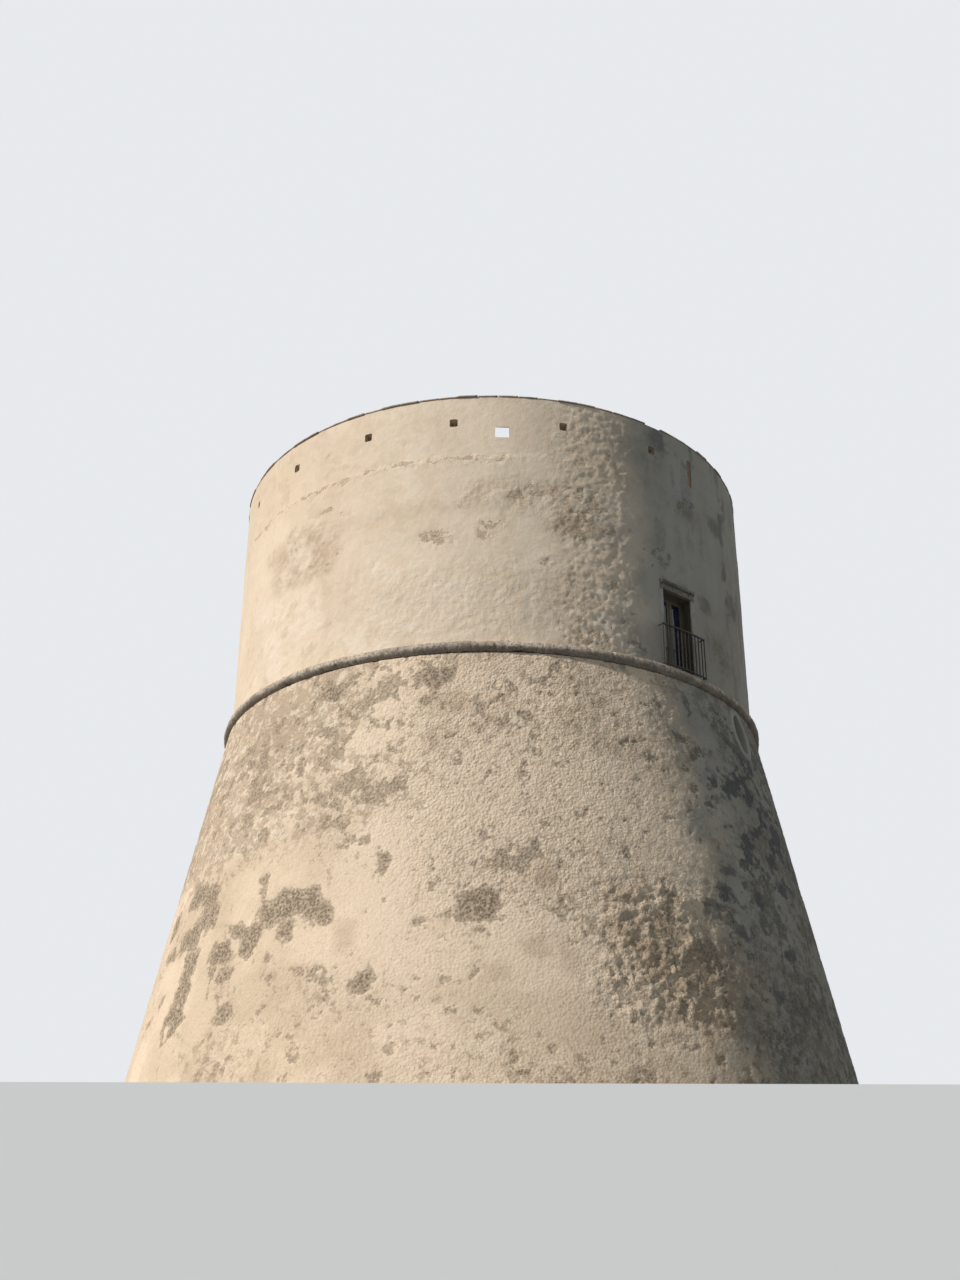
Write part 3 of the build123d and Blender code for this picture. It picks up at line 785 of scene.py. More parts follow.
def scarp_render():
    """Pebbly lime render with worn patches that show the darker rubble coat under it; its pores are darkened with
    dirt and painted shade, the side away from the sun has painted shade and the middle of the front painted light.
    """
    s = Surface("scarp_render", 0.95)
    s.shader.inputs["Specular IOR Level"].default_value = 0.12
    broad = s.noise(1.7, 4.0, 0.6)
    blotch = s.noise(0.24, 7.0, 0.72)
    fine = s.noise(0.14, 6.0, 0.72)
    grit = s.noise(0.05, 4.0, 0.75)
    pebbles = s.cells(0.065)
    colour = s.mix(s.step(broad, 0.38, 0.62), (0.745, 0.572, 0.408), (0.82, 0.64, 0.465))
    colour = s.mix(s.math("MULTIPLY", s.step(fine, 0.44, 0.66), 0.45), colour, (0.62, 0.475, 0.335))
    colour = s.mix(s.math("MULTIPLY", s.step(grit, 0.54, 0.68), 0.40), colour, (0.90, 0.77, 0.60))
    # The pale field gives paler patches of render, and painted light over the middle of the front.
    pale = s.math("MULTIPLY", s.attribute("pale"), s.step(fine, 0.30, 0.60))
    colour = s.mix(s.math("MULTIPLY", pale, 0.80), colour, (0.96, 0.755, 0.565))
    spread = s.math("MULTIPLY", s.math("SUBTRACT", s.attribute("mottled"), 0.5), 0.22)
    dapple = s.step(s.math("ADD", blotch, spread), 0.500, 0.560)
    dapple = s.math("MULTIPLY", dapple, s.step(grit, 0.28, 0.56))
    colour = s.mix(s.math("MULTIPLY", dapple, 0.78), colour, (0.46, 0.345, 0.24))
    flecks = s.math("MULTIPLY", s.step(s.noise(0.30, 7.0, 0.75), 0.525, 0.59), s.attribute("mottled"))
    colour = s.mix(s.math("MULTIPLY", flecks, 0.70), colour, (0.92, 0.79, 0.62))
    colour = s.mix(s.math("MULTIPLY", s.attribute("brown"), 0.70), colour, (0.47, 0.335, 0.22))
    wear = s.math("MULTIPLY", s.math("SUBTRACT", fine, 0.5), 0.9)
    lost = s.step(s.math("ADD", s.attribute("loss"), wear), 0.46, 0.54)
    depth = s.math("ADD", s.math("MULTIPLY", s.attribute("loss"), 0.9), 0.12)
    speckle = s.math("ADD", s.math("MULTIPLY", grit, 0.7), s.math("MULTIPLY", pebbles, 0.35))
    bare = s.mix(s.step(speckle, 0.42, 0.62), (0.24, 0.18, 0.125), (0.50, 0.385, 0.275))
    bare = s.mix(s.step(speckle, 0.64, 0.74), bare, (0.72, 0.58, 0.44))
    colour = s.mix(s.math("MULTIPLY", lost, depth), colour, bare)
    smear = s.math("MULTIPLY", s.math("SUBTRACT", fine, 0.5), 1.1)
    stained = s.step(s.math("ADD", s.attribute("grey"), smear), 0.20, 0.80)
    colour = s.mix(s.math("MULTIPLY", stained, 0.62), colour, (0.19, 0.172, 0.155))
    # Dark pores where the finest bump is lowest: dirt in them and painted shade.
    pit_dirt_and_shade = s.step(grit, 0.30, 0.42)
    colour = s.mix(s.math("MULTIPLY", s.math("SUBTRACT", 1.0, pit_dirt_and_shade), 0.55), colour, (0.24, 0.18, 0.12))
    # Painted shade: the side away from the sun is darkened to a bluish grey.
    colour = s.mix(s.attribute("painted_shade"), colour, (0.49, 0.565, 0.66), "MULTIPLY")
    strength = s.math("ADD", s.math("MULTIPLY", s.attribute("rough"), 0.75), 0.25)
    normal = s.bump(pebbles, -0.026, strength)
    normal = s.bump(fine, 0.050, strength, normal)
    normal = s.bump(grit, 0.018, strength, normal)
    return s.finish(colour, normal)


def drum_render():
    """Smooth lime render with faint streaks, stains and pitted places; its pores are darkened with dirt and painted
    shade, the side away from the sun has painted shade and the middle of the front painted light.
    """
    s = Surface("drum_render", 0.95)
    s.shader.inputs["Specular IOR Level"].default_value = 0.12
    broad = s.noise(1.9, 4.0, 0.6)
    streaks = s.noise(0.5, 4.0, 0.6, s.stretched((1.0, 1.0, 0.18)))
    blotch = s.noise(0.42, 7.0, 0.66)
    fine = s.noise(0.13, 6.0, 0.7)
    grit = s.noise(0.04, 4.0, 0.75)
    colour = s.mix(s.step(broad, 0.35, 0.65), (0.82, 0.645, 0.475), (0.885, 0.71, 0.53))
    colour = s.mix(s.math("MULTIPLY", s.step(streaks, 0.45, 0.70), 0.35), colour, (0.73, 0.58, 0.42))
    spread = s.math("MULTIPLY", s.math("SUBTRACT", s.attribute("mottled"), 0.5), 0.20)
    dapple = s.step(s.math("ADD", blotch, spread), 0.50, 0.60)
    colour = s.mix(s.math("MULTIPLY", dapple, 0.50), colour, (0.68, 0.53, 0.38))
    # The pale field gives paler patches of render, and painted light over the middle of the front.
    pale = s.math("MULTIPLY", s.attribute("pale"), s.step(blotch, 0.40, 0.54))
    colour = s.mix(s.math("MULTIPLY", pale, 0.75), colour, (0.95, 0.79, 0.62))
    brown = s.math("MULTIPLY", s.attribute("brown"), s.step(fine, 0.20, 0.58))
    colour = s.mix(s.math("MULTIPLY", brown, 0.80), colour, (0.58, 0.42, 0.28))
    wear = s.math("MULTIPLY", s.math("SUBTRACT", fine, 0.5), 0.9)
    lost = s.step(s.math("ADD", s.attribute("loss"), wear), 0.52, 0.64)
    colour = s.mix(s.math("MULTIPLY", lost, s.step(grit, 0.34, 0.60)), colour, (0.50, 0.37, 0.25))
    smear = s.math("MULTIPLY", s.math("SUBTRACT", fine, 0.5), 0.8)
    stained = s.step(s.math("ADD", s.attribute("grey"), smear), 0.18, 0.85)
    colour = s.mix(s.math("MULTIPLY", stained, 0.6), colour, (0.24, 0.205, 0.17))
    # Dark pores where the finest bump is lowest: dirt in them and painted shade.
    pit_dirt_and_shade = s.step(grit, 0.28, 0.38)
    colour = s.mix(s.math("MULTIPLY", s.math("SUBTRACT", 1.0, pit_dirt_and_shade), 0.40), colour, (0.40, 0.30, 0.20))
    # Painted shade: the side away from the sun is darkened to a bluish grey.
    colour = s.mix(s.attribute("painted_shade"), colour, (0.51, 0.575, 0.66), "MULTIPLY")
    strength = s.math("ADD", s.math("MULTIPLY", s.attribute("rough"), 0.85), 0.22)
    normal = s.bump(blotch, 0.045, strength)
    normal = s.bump(fine, 0.040, strength, normal)
    normal = s.bump(grit, 0.010, strength, normal)
    return s.finish(colour, normal)


def weathered_stone(name, light, dark, stain):
    """Limestone with lichen stains and worn pores, and painted shade on faces that look down."""
    s = Surface(name, 0.9)
    s.shader.inputs["Specular IOR Level"].default_value = 0.2
    broad = s.noise(0.5, 5.0, 0.6)
    fine = s.noise(0.06, 5.0, 0.7)
    colour = s.mix(s.step(broad, 0.35, 0.62), light, dark)
    colour = s.mix(s.step(fine, 0.46, 0.66), colour, stain)
    # Painted shade: faces that look down are darkened towards the stain colour, with an uneven border.
    parts = s.tree.nodes.new("ShaderNodeSeparateXYZ")
    s.feed(parts.inputs[0], s.tree.nodes.new("ShaderNodeNewGeometry").outputs["Normal"])
    uneven = s.math("MULTIPLY", s.math("SUBTRACT", broad, 0.5), 1.2)
    painted_underside_shade = s.step(s.math("SUBTRACT", uneven, parts.outputs["Z"]), -0.10, 0.55)
    colour = s.mix(s.math("MULTIPLY", painted_underside_shade, 0.70), colour, stain)
    normal = s.bump(fine, 0.020, 0.9)
    return s.finish(colour, normal)


def lime_plaster(name, light, dark):
    """Plain inner plaster with soft stains."""
    s = Surface(name, 0.95)
    s.shader.inputs["Specular IOR Level"].default_value = 0.15
    broad = s.noise(1.1, 5.0, 0.62)
    fine = s.noise(0.09, 4.0, 0.7)
    colour = s.mix(s.step(broad, 0.36, 0.66), light, dark)
    colour = s.mix(s.math("MULTIPLY", s.step(fine, 0.5, 0.75), 0.5), colour, dark)
    return s.finish(colour, s.bump(fine, 0.012, 0.7))


def terrace_tiles():
    """Worn square terracotta tiles with mortar joints."""
    s = Surface("terrace_tiles", 0.9)
    node = s.tree.nodes.new("ShaderNodeTexBrick")
    s.feed(node.inputs["Vector"], s.place)
    node.offset = 0.0
    node.inputs["Scale"].default_value = 1.0
    node.inputs["Brick Width"].default_value = 0.30
    node.inputs["Row Height"].default_value = 0.30
    node.inputs["Mortar Size"].default_value = 0.008
    node.inputs["Color1"].default_value = (0.38, 0.27, 0.19, 1)
    node.inputs["Color2"].default_value = (0.45, 0.33, 0.24, 1)
    node.inputs["Mortar"].default_value = (0.45, 0.40, 0.32, 1)
    dirt = s.noise(0.8, 6.0, 0.65)
    colour = s.mix(s.math("MULTIPLY", s.step(dirt, 0.42, 0.66), 0.7), node.outputs["Color"], (0.27, 0.23, 0.17))
    return s.finish(colour, s.bump(node.outputs["Fac"], -0.004, 0.8))


def dark_wood():
    """Dark weathered joinery with vertical grain."""
    s = Surface("dark_wood", 0.6)
    grain = s.noise(0.03, 5.0, 0.65, s.stretched((1.0, 1.0, 0.06)))
    blotch = s.noise(0.35, 3.0, 0.6)
    colour = s.mix(s.step(grain, 0.35, 0.68), (0.035, 0.027, 0.016), (0.11, 0.085, 0.048))
    colour = s.mix(s.math("MULTIPLY", s.step(blotch, 0.45, 0.7), 0.5), colour, (0.09, 0.095, 0.055))
    return s.finish(colour, s.bump(grain, 0.002, 0.7))


def window_pane():
    """Glass painted dark blue for the unlit room behind it, with a faint waviness and dust."""
    s = Surface("window_pane", 0.06)
    dust = s.noise(0.3, 5.0, 0.6)
    # Painted shade: the opaque pane's colour stands for the dark room behind the glass.
    colour = s.mix(s.step(dust, 0.45, 0.75), (0.010, 0.016, 0.040), (0.030, 0.040, 0.070))
    wave = s.noise(0.25, 1.0, 0.5)
    return s.finish(colour, s.bump(wave, 0.001, 0.3))


def wrought_iron():
    """Old dark paint on iron with small rust spots."""
    s = Surface("wrought_iron", 0.55, 0.6)
    fine = s.noise(0.02, 4.0, 0.7)
    rust = s.noise(0.11, 5.0, 0.7)
    colour = s.mix(s.step(fine, 0.35, 0.7), (0.018, 0.016, 0.014), (0.045, 0.038, 0.030))
    colour = s.mix(s.step(rust, 0.56, 0.68), colour, (0.13, 0.055, 0.025))
    return s.finish(colour, s.bump(fine, 0.001, 0.6))


MATERIALS = {
    "scarp_render": scarp_render(),
    "drum_render": drum_render(),
    "cordon_stone": weathered_stone("cordon_stone", (0.70, 0.58, 0.46), (0.43, 0.35, 0.275), (0.17, 0.14, 0.11)),
    # Coping colours: dark slabs, darkened also as painted shade of their undersides seen from below.
    "coping_slab": weathered_stone("coping_slab", (0.58, 0.45, 0.35), (0.27, 0.21, 0.16), (0.24, 0.17, 0.12)),
    "vault_masonry": lime_plaster("vault_plaster", (0.60, 0.52, 0.42), (0.42, 0.36, 0.28)),
    "paving": terrace_tiles(),
    "surround_plaster": lime_plaster("surround_plaster", (0.47, 0.43, 0.365), (0.34, 0.31, 0.26)),
    "dressed_stone": weathered_stone("dressed_stone", (0.33, 0.285, 0.22), (0.19, 0.165, 0.125), (0.08, 0.07, 0.055)),
    "joinery": dark_wood(),
    "window_glass": window_pane(),
    "wrought_iron": wrought_iron(),
}
WALL_PLASTER = lime_plaster("wall_plaster", (0.66, 0.55, 0.41), (0.50, 0.40, 0.29))


def dress(thing, material):
    """Gives an object one material."""
    if not thing.data.materials:
        thing.data.materials.append(material)
    for index in range(len(thing.data.materials)):
        thing.data.materials[index] = material


slots = {entry["node"]: entry["material_slot"] for entry in frame["record"]["subparts"]}
for node_name, node_object in frame["nodes"].items():
    is_wall = node_name.startswith(("scarp_wall", "drum_wall", "parapet"))
    dress(node_object, WALL_PLASTER if is_wall else MATERIALS[slots[node_name]])

# Openings that the coats leave free, in degrees and metres


def hole_at(az, z, half_width, half_height, is_round=False):
    """One opening in a coat."""
    return {"az": az, "z": z, "half_width": half_width, "half_height": half_height, "round": is_round}


HOLE_AZIMUTHS = [-65.2, -46.6, -26.4, -7.7, 14.9, 35.8] + [76.0 + 20.0 * i for i in range(11)]
WINDOW_LOW_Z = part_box("east_window_sill")[0].z
WINDOW_HIGH_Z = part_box("east_window_lintel")[1].z
JAMB_EDGE = 0.58
terrace_holes = [hole_at(az, 16.380, 0.100, 0.110) for az in HOLE_AZIMUTHS]
terrace_holes.append(hole_at(2.2, 16.080, 0.170, 0.150))
terrace_holes.append(hole_at(47.7, 16.260, 0.075, 0.390))
for window_az in (EAST_WINDOW_AZ, WEST_WINDOW_AZ):
    middle = (WINDOW_LOW_Z + WINDOW_HIGH_Z) / 2
    terrace_holes.append(hole_at(window_az, middle, JAMB_EDGE, (WINDOW_HIGH_Z - WINDOW_LOW_Z) / 2))
SURROUND_Z = sum(corner.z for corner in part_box("oculus_surround")) / 2
SURROUND_HALF_HEIGHT = (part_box("oculus_surround")[1].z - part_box("oculus_surround")[0].z) / 2
RING_BAND = 0.165
OVAL_HALF_WIDTH = 0.30
OVAL_HALF_HEIGHT = SURROUND_HALF_HEIGHT - RING_BAND
RING_LAP = 0.015
scarp_holes = [
    hole_at(
        OCULUS_AZ,
        SURROUND_Z,
        OVAL_HALF_WIDTH + RING_BAND - RING_LAP,
        SURROUND_HALF_HEIGHT - RING_LAP,
        True,
    )
]

build_coat(
    "scarp_coat",
    (GROUND_Z, CORDON_LOW_Z),
    lambda z: BASE_RADIUS - BATTER * z,
    scarp_fields,
    scarp_thickness,
    scarp_holes,
    "scarp_render",
)
build_coat(
    "drum_coat",
    (CORDON_TOP_Z, PARAPET_TOP_Z),
    lambda z: DRUM_RADIUS + 0 * z,
    drum_fields,
    drum_thickness,
    terrace_holes,
    "drum_render",
)


# Raised oval ring of the small window, with the mouth behind it

RING_PROJECTION = 0.040
MOUTH_DEPTH = 0.46


def build_ring():
    """Worn ring and smooth mouth, which follow the battered wall, in place of the plain CAD ring."""
    columns = 144
    turn = np.radians(np.arange(columns) * 360.0 / columns)
    section = [(1.0, -0.03), (1.0, 0.55), (0.93, 0.85), (0.75, 1.0), (0.25, 1.0), (0.07, 0.85), (0.0, 0.5)]
    normal = outward(np.array([OCULUS_AZ]))[0]
    across = np.array([-normal[1], normal[0], 0.0])
    rows = []
    for part, rise in section + [(0.0, -1.0), (0.0, -2.0)]:
        half_width = OVAL_HALF_WIDTH + RING_BAND * part
        half_height = OVAL_HALF_HEIGHT + RING_BAND * part
        side, up = half_width * np.cos(turn), half_height * np.sin(turn)
        z = SURROUND_Z + up
        radius = BASE_RADIUS - BATTER * z
        face = np.sqrt(radius**2 - side**2)
        depth = RING_PROJECTION * rise if rise > -1 else MOUTH_DEPTH * (rise + 1) - 0.02
        rows.append(normal * (face + depth)[:, None] + across * side[:, None] + np.stack([0 * z, 0 * z, z], 1))
    points = np.concatenate(rows)
    worn = fractal(points, 0.12, 4, 431) - 0.5
    points -= normal * (0.018 * np.clip(worn, 0, 1) * np.repeat([0, 0, 1, 1, 1, 1, 1, 0, 0], columns))[:, None]
    faces, _, _ = grid_faces(columns, len(rows) - 1, closed=True)
    piece = add_piece("oval_window_ring", points, faces, "surround_plaster")
    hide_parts("oculus_surround")


build_ring()


# Jamb bands beside the windows

JAMB_WIDTH = 0.13
JAMB_THICKNESS = 0.032


def build_patch(name, az_range, z_range, radius, thickness_of, slot, cell=0.02):
    """A small skin with relief over part of the drum, whose edges turn in to the masonry."""
    columns = max(2, round(math.radians(az_range[1] - az_range[0]) * radius / cell))
    rows = max(2, round((z_range[1] - z_range[0]) / cell))
    faces, _, _ = grid_faces(columns, rows, closed=False)
    az = np.tile(np.linspace(*az_range, columns + 1), rows + 1)
    heights = np.repeat(np.linspace(*z_range, rows + 1), columns + 1)
    ground = on_wall(az, radius + 0 * az, heights)
    outer = ground + outward(az) * thickness_of(ground)[:, None]
    edges, _ = border_edges(faces)
    skirt = np.stack([edges[:, 1], edges[:, 0], edges[:, 0] + len(outer), edges[:, 1] + len(outer)], axis=1)
    points = np.concatenate([outer, ground - outward(az) * COAT_EDGE_TUCK])
    return add_piece(name, points, np.concatenate([faces, skirt]), slot)


def jamb_thickness(points):
    """Worn plaster band, thinner where it is broken."""
    worn = smooth(fractal(points, 0.22, 4, 401), 0.58, 0.70)
    return JAMB_THICKNESS - 0.018 * worn + 0.006 * (fractal(points, 0.09, 3, 411) - 0.5)


for side_name, window_az in (("east", EAST_WINDOW_AZ), ("west", WEST_WINDOW_AZ)):
    lintel_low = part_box(f"{side_name}_window_lintel")[0].z
    for hand, direction in (("left", -1), ("right", 1)):
        edge_az = [
            window_az + direction * math.degrees(math.asin(reach / DRUM_RADIUS))
            for reach in (0.5, 0.5 + JAMB_WIDTH)
        ]
        build_patch(
            f"{side_name}_window_{hand}_jamb",
            sorted(edge_az),
            (CORDON_TOP_Z, lintel_low),
            DRUM_RADIUS,
            jamb_thickness,
            "surround_plaster",
        )


# Dark boards that line the windows' reveals

LINING_THICKNESS = 0.022
LINING_SETBACK = 0.004
WINDOW_HALF_WIDTH = 0.5


def add_board(bm, corner, normal, across, size):
    """One board with eased edges, from a corner along the window's normal, its width and upwards."""
    made = bmesh.ops.create_cube(bm, size=1.0)["verts"]
    for vert in made:
        depth, side, up = [(vert.co[i] + 0.5) * size[i] for i in range(3)]
        vert.co = corner + normal * depth + across * side + Vector((0, 0, up))
    edges = {edge for vert in made for edge in vert.link_edges}
    bmesh.ops.bevel(bm, geom=list(edges), offset=0.004, segments=2, affect="EDGES", profile=0.5)


def build_lining(side_name, window_az):
    """Boards on both sides and over the head of one window, from its frame to the wall's face."""
    a = math.radians(window_az)
    normal = Vector((math.sin(a), -math.cos(a), 0))
    across = Vector((math.cos(a), math.sin(a), 0))
    frame_face = float((node_points(f"{side_name}_window_frame") @ np.array(normal)).max())
    wall_face = math.sqrt(DRUM_RADIUS**2 - WINDOW_HALF_WIDTH**2)
    depth = wall_face - frame_face - LINING_SETBACK
    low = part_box(f"{side_name}_window_sill")[1].z
    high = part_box(f"{side_name}_window_lintel")[0].z
    bm = bmesh.new()
    base = normal * frame_face + Vector((0, 0, low))
    for side in (-WINDOW_HALF_WIDTH, WINDOW_HALF_WIDTH - LINING_THICKNESS):
        add_board(bm, base + across * side, normal, across, (depth, LINING_THICKNESS, high - low))
    head = base - across * (WINDOW_HALF_WIDTH - LINING_THICKNESS) + Vector((0, 0, high - low - LINING_THICKNESS))
    add_board(bm, head, normal, across, (depth, 2 * (WINDOW_HALF_WIDTH - LINING_THICKNESS), LINING_THICKNESS))
    mesh = bpy.data.meshes.new(f"{side_name}_window_lining")
    bm.to_mesh(mesh)
    bm.free()
    lining = bpy.data.objects.new(f"{side_name}_window_lining", mesh)
    bpy.context.scene.collection.objects.link(lining)
    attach(lining, "root")
    dress(lining, MATERIALS["joinery"])


build_lining("east", EAST_WINDOW_AZ)
build_lining("west", WEST_WINDOW_AZ)


# String course of separate worn stones, in place of the plain CAD rings

CORDON_STONE = 0.56
CORDON_CELL = 0.032
CORDON_RINGS = 3


def cordon_profile():
    """Radius and height of the string course's section, from its tail over the nose and back."""
    inner = float(np.hypot(*node_points("cordon_1")[:, :2].T).min())
    nose = (CORDON_TOP_Z - CORDON_LOW_Z) / 2
    centre = CORDON_NOSE_RADIUS - nose
    section = [(inner, CORDON_LOW_Z), (centre - 0.20, CORDON_LOW_Z)]
    for angle in np.linspace(-90, 90, 13):
        a = math.radians(angle)
        section.append((centre + nose * math.cos(a), CORDON_LOW_Z + nose + nose * math.sin(a)))
    section += [(centre - 0.06, CORDON_TOP_Z), (centre - 0.20, CORDON_TOP_Z), (inner, CORDON_TOP_Z)]
    return np.array(section), centre, CORDON_LOW_Z + nose


def build_cordon():
    """Three lengths of the string course, each with its stones' joints, chips and worn edges."""
    section, centre, middle_z = cordon_profile()
    stones = round(2 * math.pi * CORDON_NOSE_RADIUS / CORDON_STONE)
    columns = CORDON_RINGS * round(2 * math.pi * CORDON_NOSE_RADIUS / CORDON_RINGS / CORDON_CELL)
    count = len(section)
    start_az = first_azimuth("cordon_1")
    column = np.arange(columns)
    az = start_az + column * 360.0 / columns
    stone = (column + 0.5) * stones / columns
    number = np.floor(stone).astype(np.int64)
    jitter = lattice_value(number, 0 * number, 0 * number, 503) - 0.5
    swing = lattice_value(number, 0 * number, 0 * number, 509) - 0.5
    along = stone - number - 0.5
    gap = np.minimum(0.5 - np.abs(along), 0.5) * CORDON_STONE
    groove = 1 - smooth(gap, 0.004, 0.034)

    ring_az = np.repeat(az, count)
    radius = np.tile(section[:, 0], columns)
    height = np.tile(section[:, 1], columns)
    points = on_wall(ring_az, radius, height)
    exposed = smooth(radius, centre - 0.12, centre - 0.02)
    chips = smooth(fractal(points, 0.30, 4, 521), 0.55, 0.74)
    edges = smooth(np.abs(height - middle_z), 0.07, 0.15)
    worn = 0.018 * (1 - fractal(points, 0.12, 3, 541)) + 0.045 * chips * (0.4 + 0.6 * edges)
    worn += 0.020 * np.repeat(groove, count)
    worn += 0.010 * (0.5 + np.repeat(jitter, count)) + 0.012 * np.repeat(swing * along, count)
    worn *= exposed
    towards = np.stack([radius - centre, height - middle_z], axis=1)
    towards /= np.maximum(np.linalg.norm(towards, axis=1, keepdims=True), 1e-6)
    points = on_wall(ring_az, radius - worn * towards[:, 0], height - worn * towards[:, 1])

    faces, ring_column, _ = grid_faces(columns, 1, closed=True)
    around = np.arange(count)
    quads = []
    for k in range(count):
        after = (k + 1) % count
        nxt = (column + 1) % columns
        quads.append(np.stack([column * count + k, nxt * count + k, nxt * count + after, column * count + after], axis=1))
    quads = np.stack(quads, axis=1)
    per_ring = columns // CORDON_RINGS
    for ring in range(CORDON_RINGS):
        own = quads[ring * per_ring : (ring + 1) * per_ring].reshape(-1, 4)
        piece = add_piece(f"cordon_stones_{ring + 1}", points, own, "cordon_stone")
        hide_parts(f"cordon_{ring + 1}")


build_cordon()


# Cap of separate thin slabs, in place of the plain CAD rings

SLAB_LENGTH = 0.50
SLAB_GAP = 0.005
CHIPPED_SLAB_AZ = 38.0


def slab_mesh(points, quads, az_range, radius_range, z_range, seed):
    """Adds one thin slab with soft uneven edges to lists of points and quads."""
    columns, rows = 8, 6
    first = sum(len(block) for block in points)
    az = np.tile(np.linspace(*az_range, columns + 1), rows + 1)
    radius = np.repeat(np.linspace(*radius_range, rows + 1), columns + 1)
    flat = on_wall(az, radius, 0 * az)
    edge = np.minimum(
        np.minimum(az - az_range[0], az_range[1] - az) * math.radians(radius_range[1]),
        np.minimum(radius - radius_range[0], radius_range[1] - radius),
    )
    droop = 0.010 * (1 - smooth(edge, 0.0, 0.05)) + 0.012 * fractal(flat, 0.25, 3, seed)
    shrink = 0.014 * (fractal(flat, 0.16, 3, seed + 7) - 0.2) * (edge < 1e-6)
    middle = on_wall(np.array([sum(az_range) / 2]), np.array([sum(radius_range) / 2]), np.zeros(1))
    flat = flat + (middle - flat) * (shrink / 0.25)[:, None]
    top = flat + np.stack([0 * az, 0 * az, z_range[1] - droop], axis=1)
    bottom = flat + np.stack([0 * az, 0 * az, z_range[0] + 0 * az], axis=1)
    faces, _, _ = grid_faces(columns, rows, closed=False)
    edges, _ = border_edges(faces)
    size = len(flat)
    wall = np.stack([edges[:, 1], edges[:, 0], edges[:, 0] + size, edges[:, 1] + size], axis=1)
    points.append(np.concatenate([top, bottom]))
    quads.append(np.concatenate([faces, faces[:, ::-1] + size, wall]) + first)


def build_coping():
    """Three lengths of cap slabs, each slab a little out of line with the next."""
    arc = 360.0 / CORDON_RINGS
    slabs = round(math.radians(arc) * COPING_RADIUS / SLAB_LENGTH)
    gap_az = math.degrees(SLAB_GAP / COPING_RADIUS)
    for ring in range(CORDON_RINGS):
        start_az = first_azimuth(f"coping_{ring + 1}")
        points, quads = [], []
        ids = np.arange(slabs) + ring * slabs
        out = lattice_value(ids, 0 * ids, 0 * ids, 601)
        low = lattice_value(ids, 0 * ids, 0 * ids, 607)
        for k in range(slabs):
            begin = start_az + arc * k / slabs + gap_az / 2
            chipped = abs(wrap(begin + arc / slabs / 2 - CHIPPED_SLAB_AZ)) < arc / slabs / 2
            slab_mesh(
                points,
                quads,
                (begin, begin + arc / slabs - gap_az),
                (COPING_INNER_RADIUS, COPING_RADIUS - 0.030 * out[k] - 0.12 * chipped),
                (PARAPET_TOP_Z, COPING_TOP_Z - 0.018 * low[k] - 0.02 * chipped),
                620 + k % 40,
            )
        piece = add_piece(
            f"coping_slabs_{ring + 1}", np.concatenate(points), np.concatenate(quads), "coping_slab"
        )
        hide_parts(f"coping_{ring + 1}")


build_coping()


# Stage, light and camera

CAMERA_DISTANCE = 38.18
CAMERA_Z = -4.384
CAMERA_PITCH = 0.4429
CAMERA_TURN = 0.0082
CAMERA_ROLL = 0.004
FOCAL_PIXELS = 1514.4
IMAGE_HEIGHT = 1280.0
FLOOR_FRONT_Y = -10.7
FLOOR_REACH = 90.0
BACKGROUND = (0.80, 0.82, 0.85)
BOUNCE_COLOUR = (0.34, 0.33, 0.31)


def stage_material(name, colour):
    """Pale floor that keeps the object's shadow."""
    s = Surface(name, 0.9)
    grain = s.noise(3.0, 2.0, 0.5)
    path = s.tree.nodes.new("ShaderNodeLightPath")
    seen = s.math("MAXIMUM", path.outputs["Is Camera Ray"], path.outputs["Is Glossy Ray"])
    seen = s.math("MAXIMUM", seen, path.outputs["Is Transmission Ray"])
    pale = s.mix(s.math("MULTIPLY", grain, 0.04), colour, (0.7, 0.7, 0.7))
    return s.finish(s.mix(seen, BOUNCE_COLOUR, pale))


def build_floor():
    """A level floor whose front edge lies just before the tower's foot, as the camera stands below it."""
    bm = bmesh.new()
    low = -12.0
    corners = [
        (-FLOOR_REACH, FLOOR_FRONT_Y),
        (FLOOR_REACH, FLOOR_FRONT_Y),
        (FLOOR_REACH, FLOOR_REACH),
        (-FLOOR_REACH, FLOOR_REACH),
    ]
    top = [bm.verts.new((x, y, GROUND_Z)) for x, y in corners]
    bottom = [bm.verts.new((x, y, low)) for x, y in corners]
    bm.faces.new(top)
    for i in range(4):
        j = (i + 1) % 4
        bm.faces.new((top[j], top[i], bottom[i], bottom[j]))
    mesh = bpy.data.meshes.new("floor")
    bm.to_mesh(mesh)
    bm.free()
    floor = bpy.data.objects.new("floor", mesh)
    bpy.context.scene.collection.objects.link(floor)
    dress(floor, stage_material("floor", (0.90, 0.89, 0.87)))


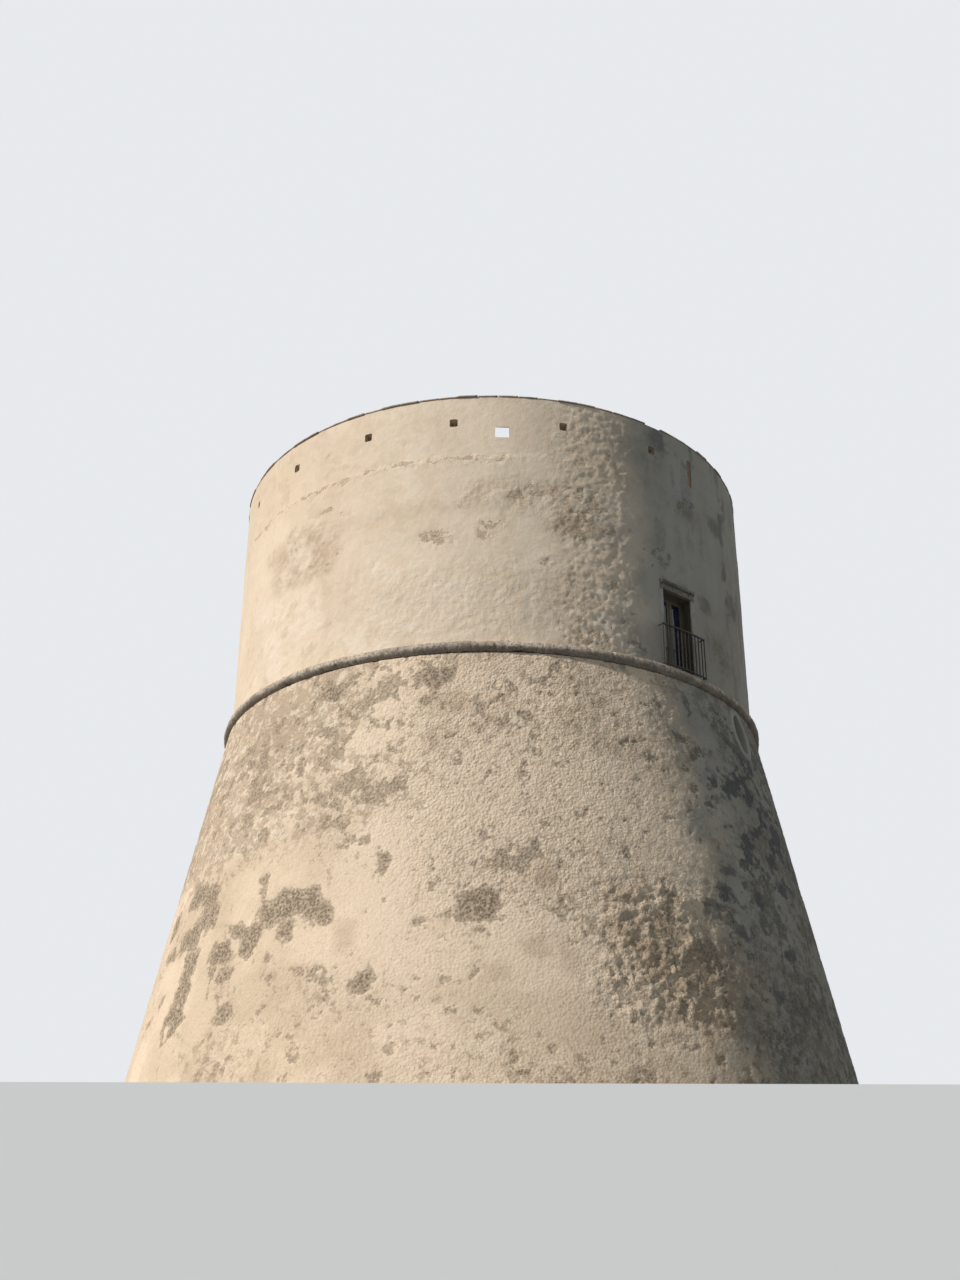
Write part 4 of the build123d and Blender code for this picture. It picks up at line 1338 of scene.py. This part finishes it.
def build_lights():
    """A soft key from the left front and an even pale world."""
    sun = bpy.data.lights.new("key", "SUN")
    sun.energy = 3.1
    sun.angle = math.radians(3)
    sun.color = (1.0, 0.98, 0.95)
    key = bpy.data.objects.new("key", sun)
    bpy.context.scene.collection.objects.link(key)
    az = math.radians(-60.5)
    lift = math.radians(34)
    towards = Vector((math.sin(az) * math.cos(lift), -math.cos(az) * math.cos(lift), math.sin(lift)))
    key.rotation_euler = towards.to_track_quat("Z", "Y").to_euler()
    world = bpy.data.worlds.new("world")
    bpy.context.scene.world = world
    world.use_nodes = True
    tree = world.node_tree
    background = tree.nodes["Background"]
    background.inputs["Color"].default_value = (0.82, 0.93, 1.0, 1)
    background.inputs["Strength"].default_value = 0.29
    seen = tree.nodes.new("ShaderNodeBackground")
    seen.inputs["Color"].default_value = (*BACKGROUND, 1)
    seen.inputs["Strength"].default_value = 1.0
    path = tree.nodes.new("ShaderNodeLightPath")
    glossy = tree.nodes.new("ShaderNodeMath")
    glossy.operation = "MAXIMUM"
    tree.links.new(path.outputs["Is Camera Ray"], glossy.inputs[0])
    tree.links.new(path.outputs["Is Glossy Ray"], glossy.inputs[1])
    either = tree.nodes.new("ShaderNodeMath")
    either.operation = "MAXIMUM"
    tree.links.new(glossy.outputs[0], either.inputs[0])
    tree.links.new(path.outputs["Is Transmission Ray"], either.inputs[1])
    mix = tree.nodes.new("ShaderNodeMixShader")
    tree.links.new(either.outputs[0], mix.inputs[0])
    tree.links.new(background.outputs[0], mix.inputs[1])
    tree.links.new(seen.outputs[0], mix.inputs[2])
    tree.links.new(mix.outputs[0], tree.nodes["World Output"].inputs["Surface"])


def build_camera():
    """The camera at the photograph's place, below the ground level of the tower."""
    data = bpy.data.cameras.new("camera")
    data.sensor_width = 36.0
    data.lens = FOCAL_PIXELS / IMAGE_HEIGHT * 36.0
    data.clip_end = 500.0
    camera = bpy.data.objects.new("camera", data)
    bpy.context.scene.collection.objects.link(camera)
    camera.location = (0.0, -CAMERA_DISTANCE, CAMERA_Z)
    aim = Euler((math.pi / 2 + CAMERA_PITCH, 0.0, CAMERA_TURN)).to_matrix()
    camera.rotation_euler = (aim @ Matrix.Rotation(CAMERA_ROLL, 3, "Z")).to_euler()
    bpy.context.scene.camera = camera


build_floor()
build_lights()
build_camera()
bpy.context.scene.view_settings.view_transform = "Standard"
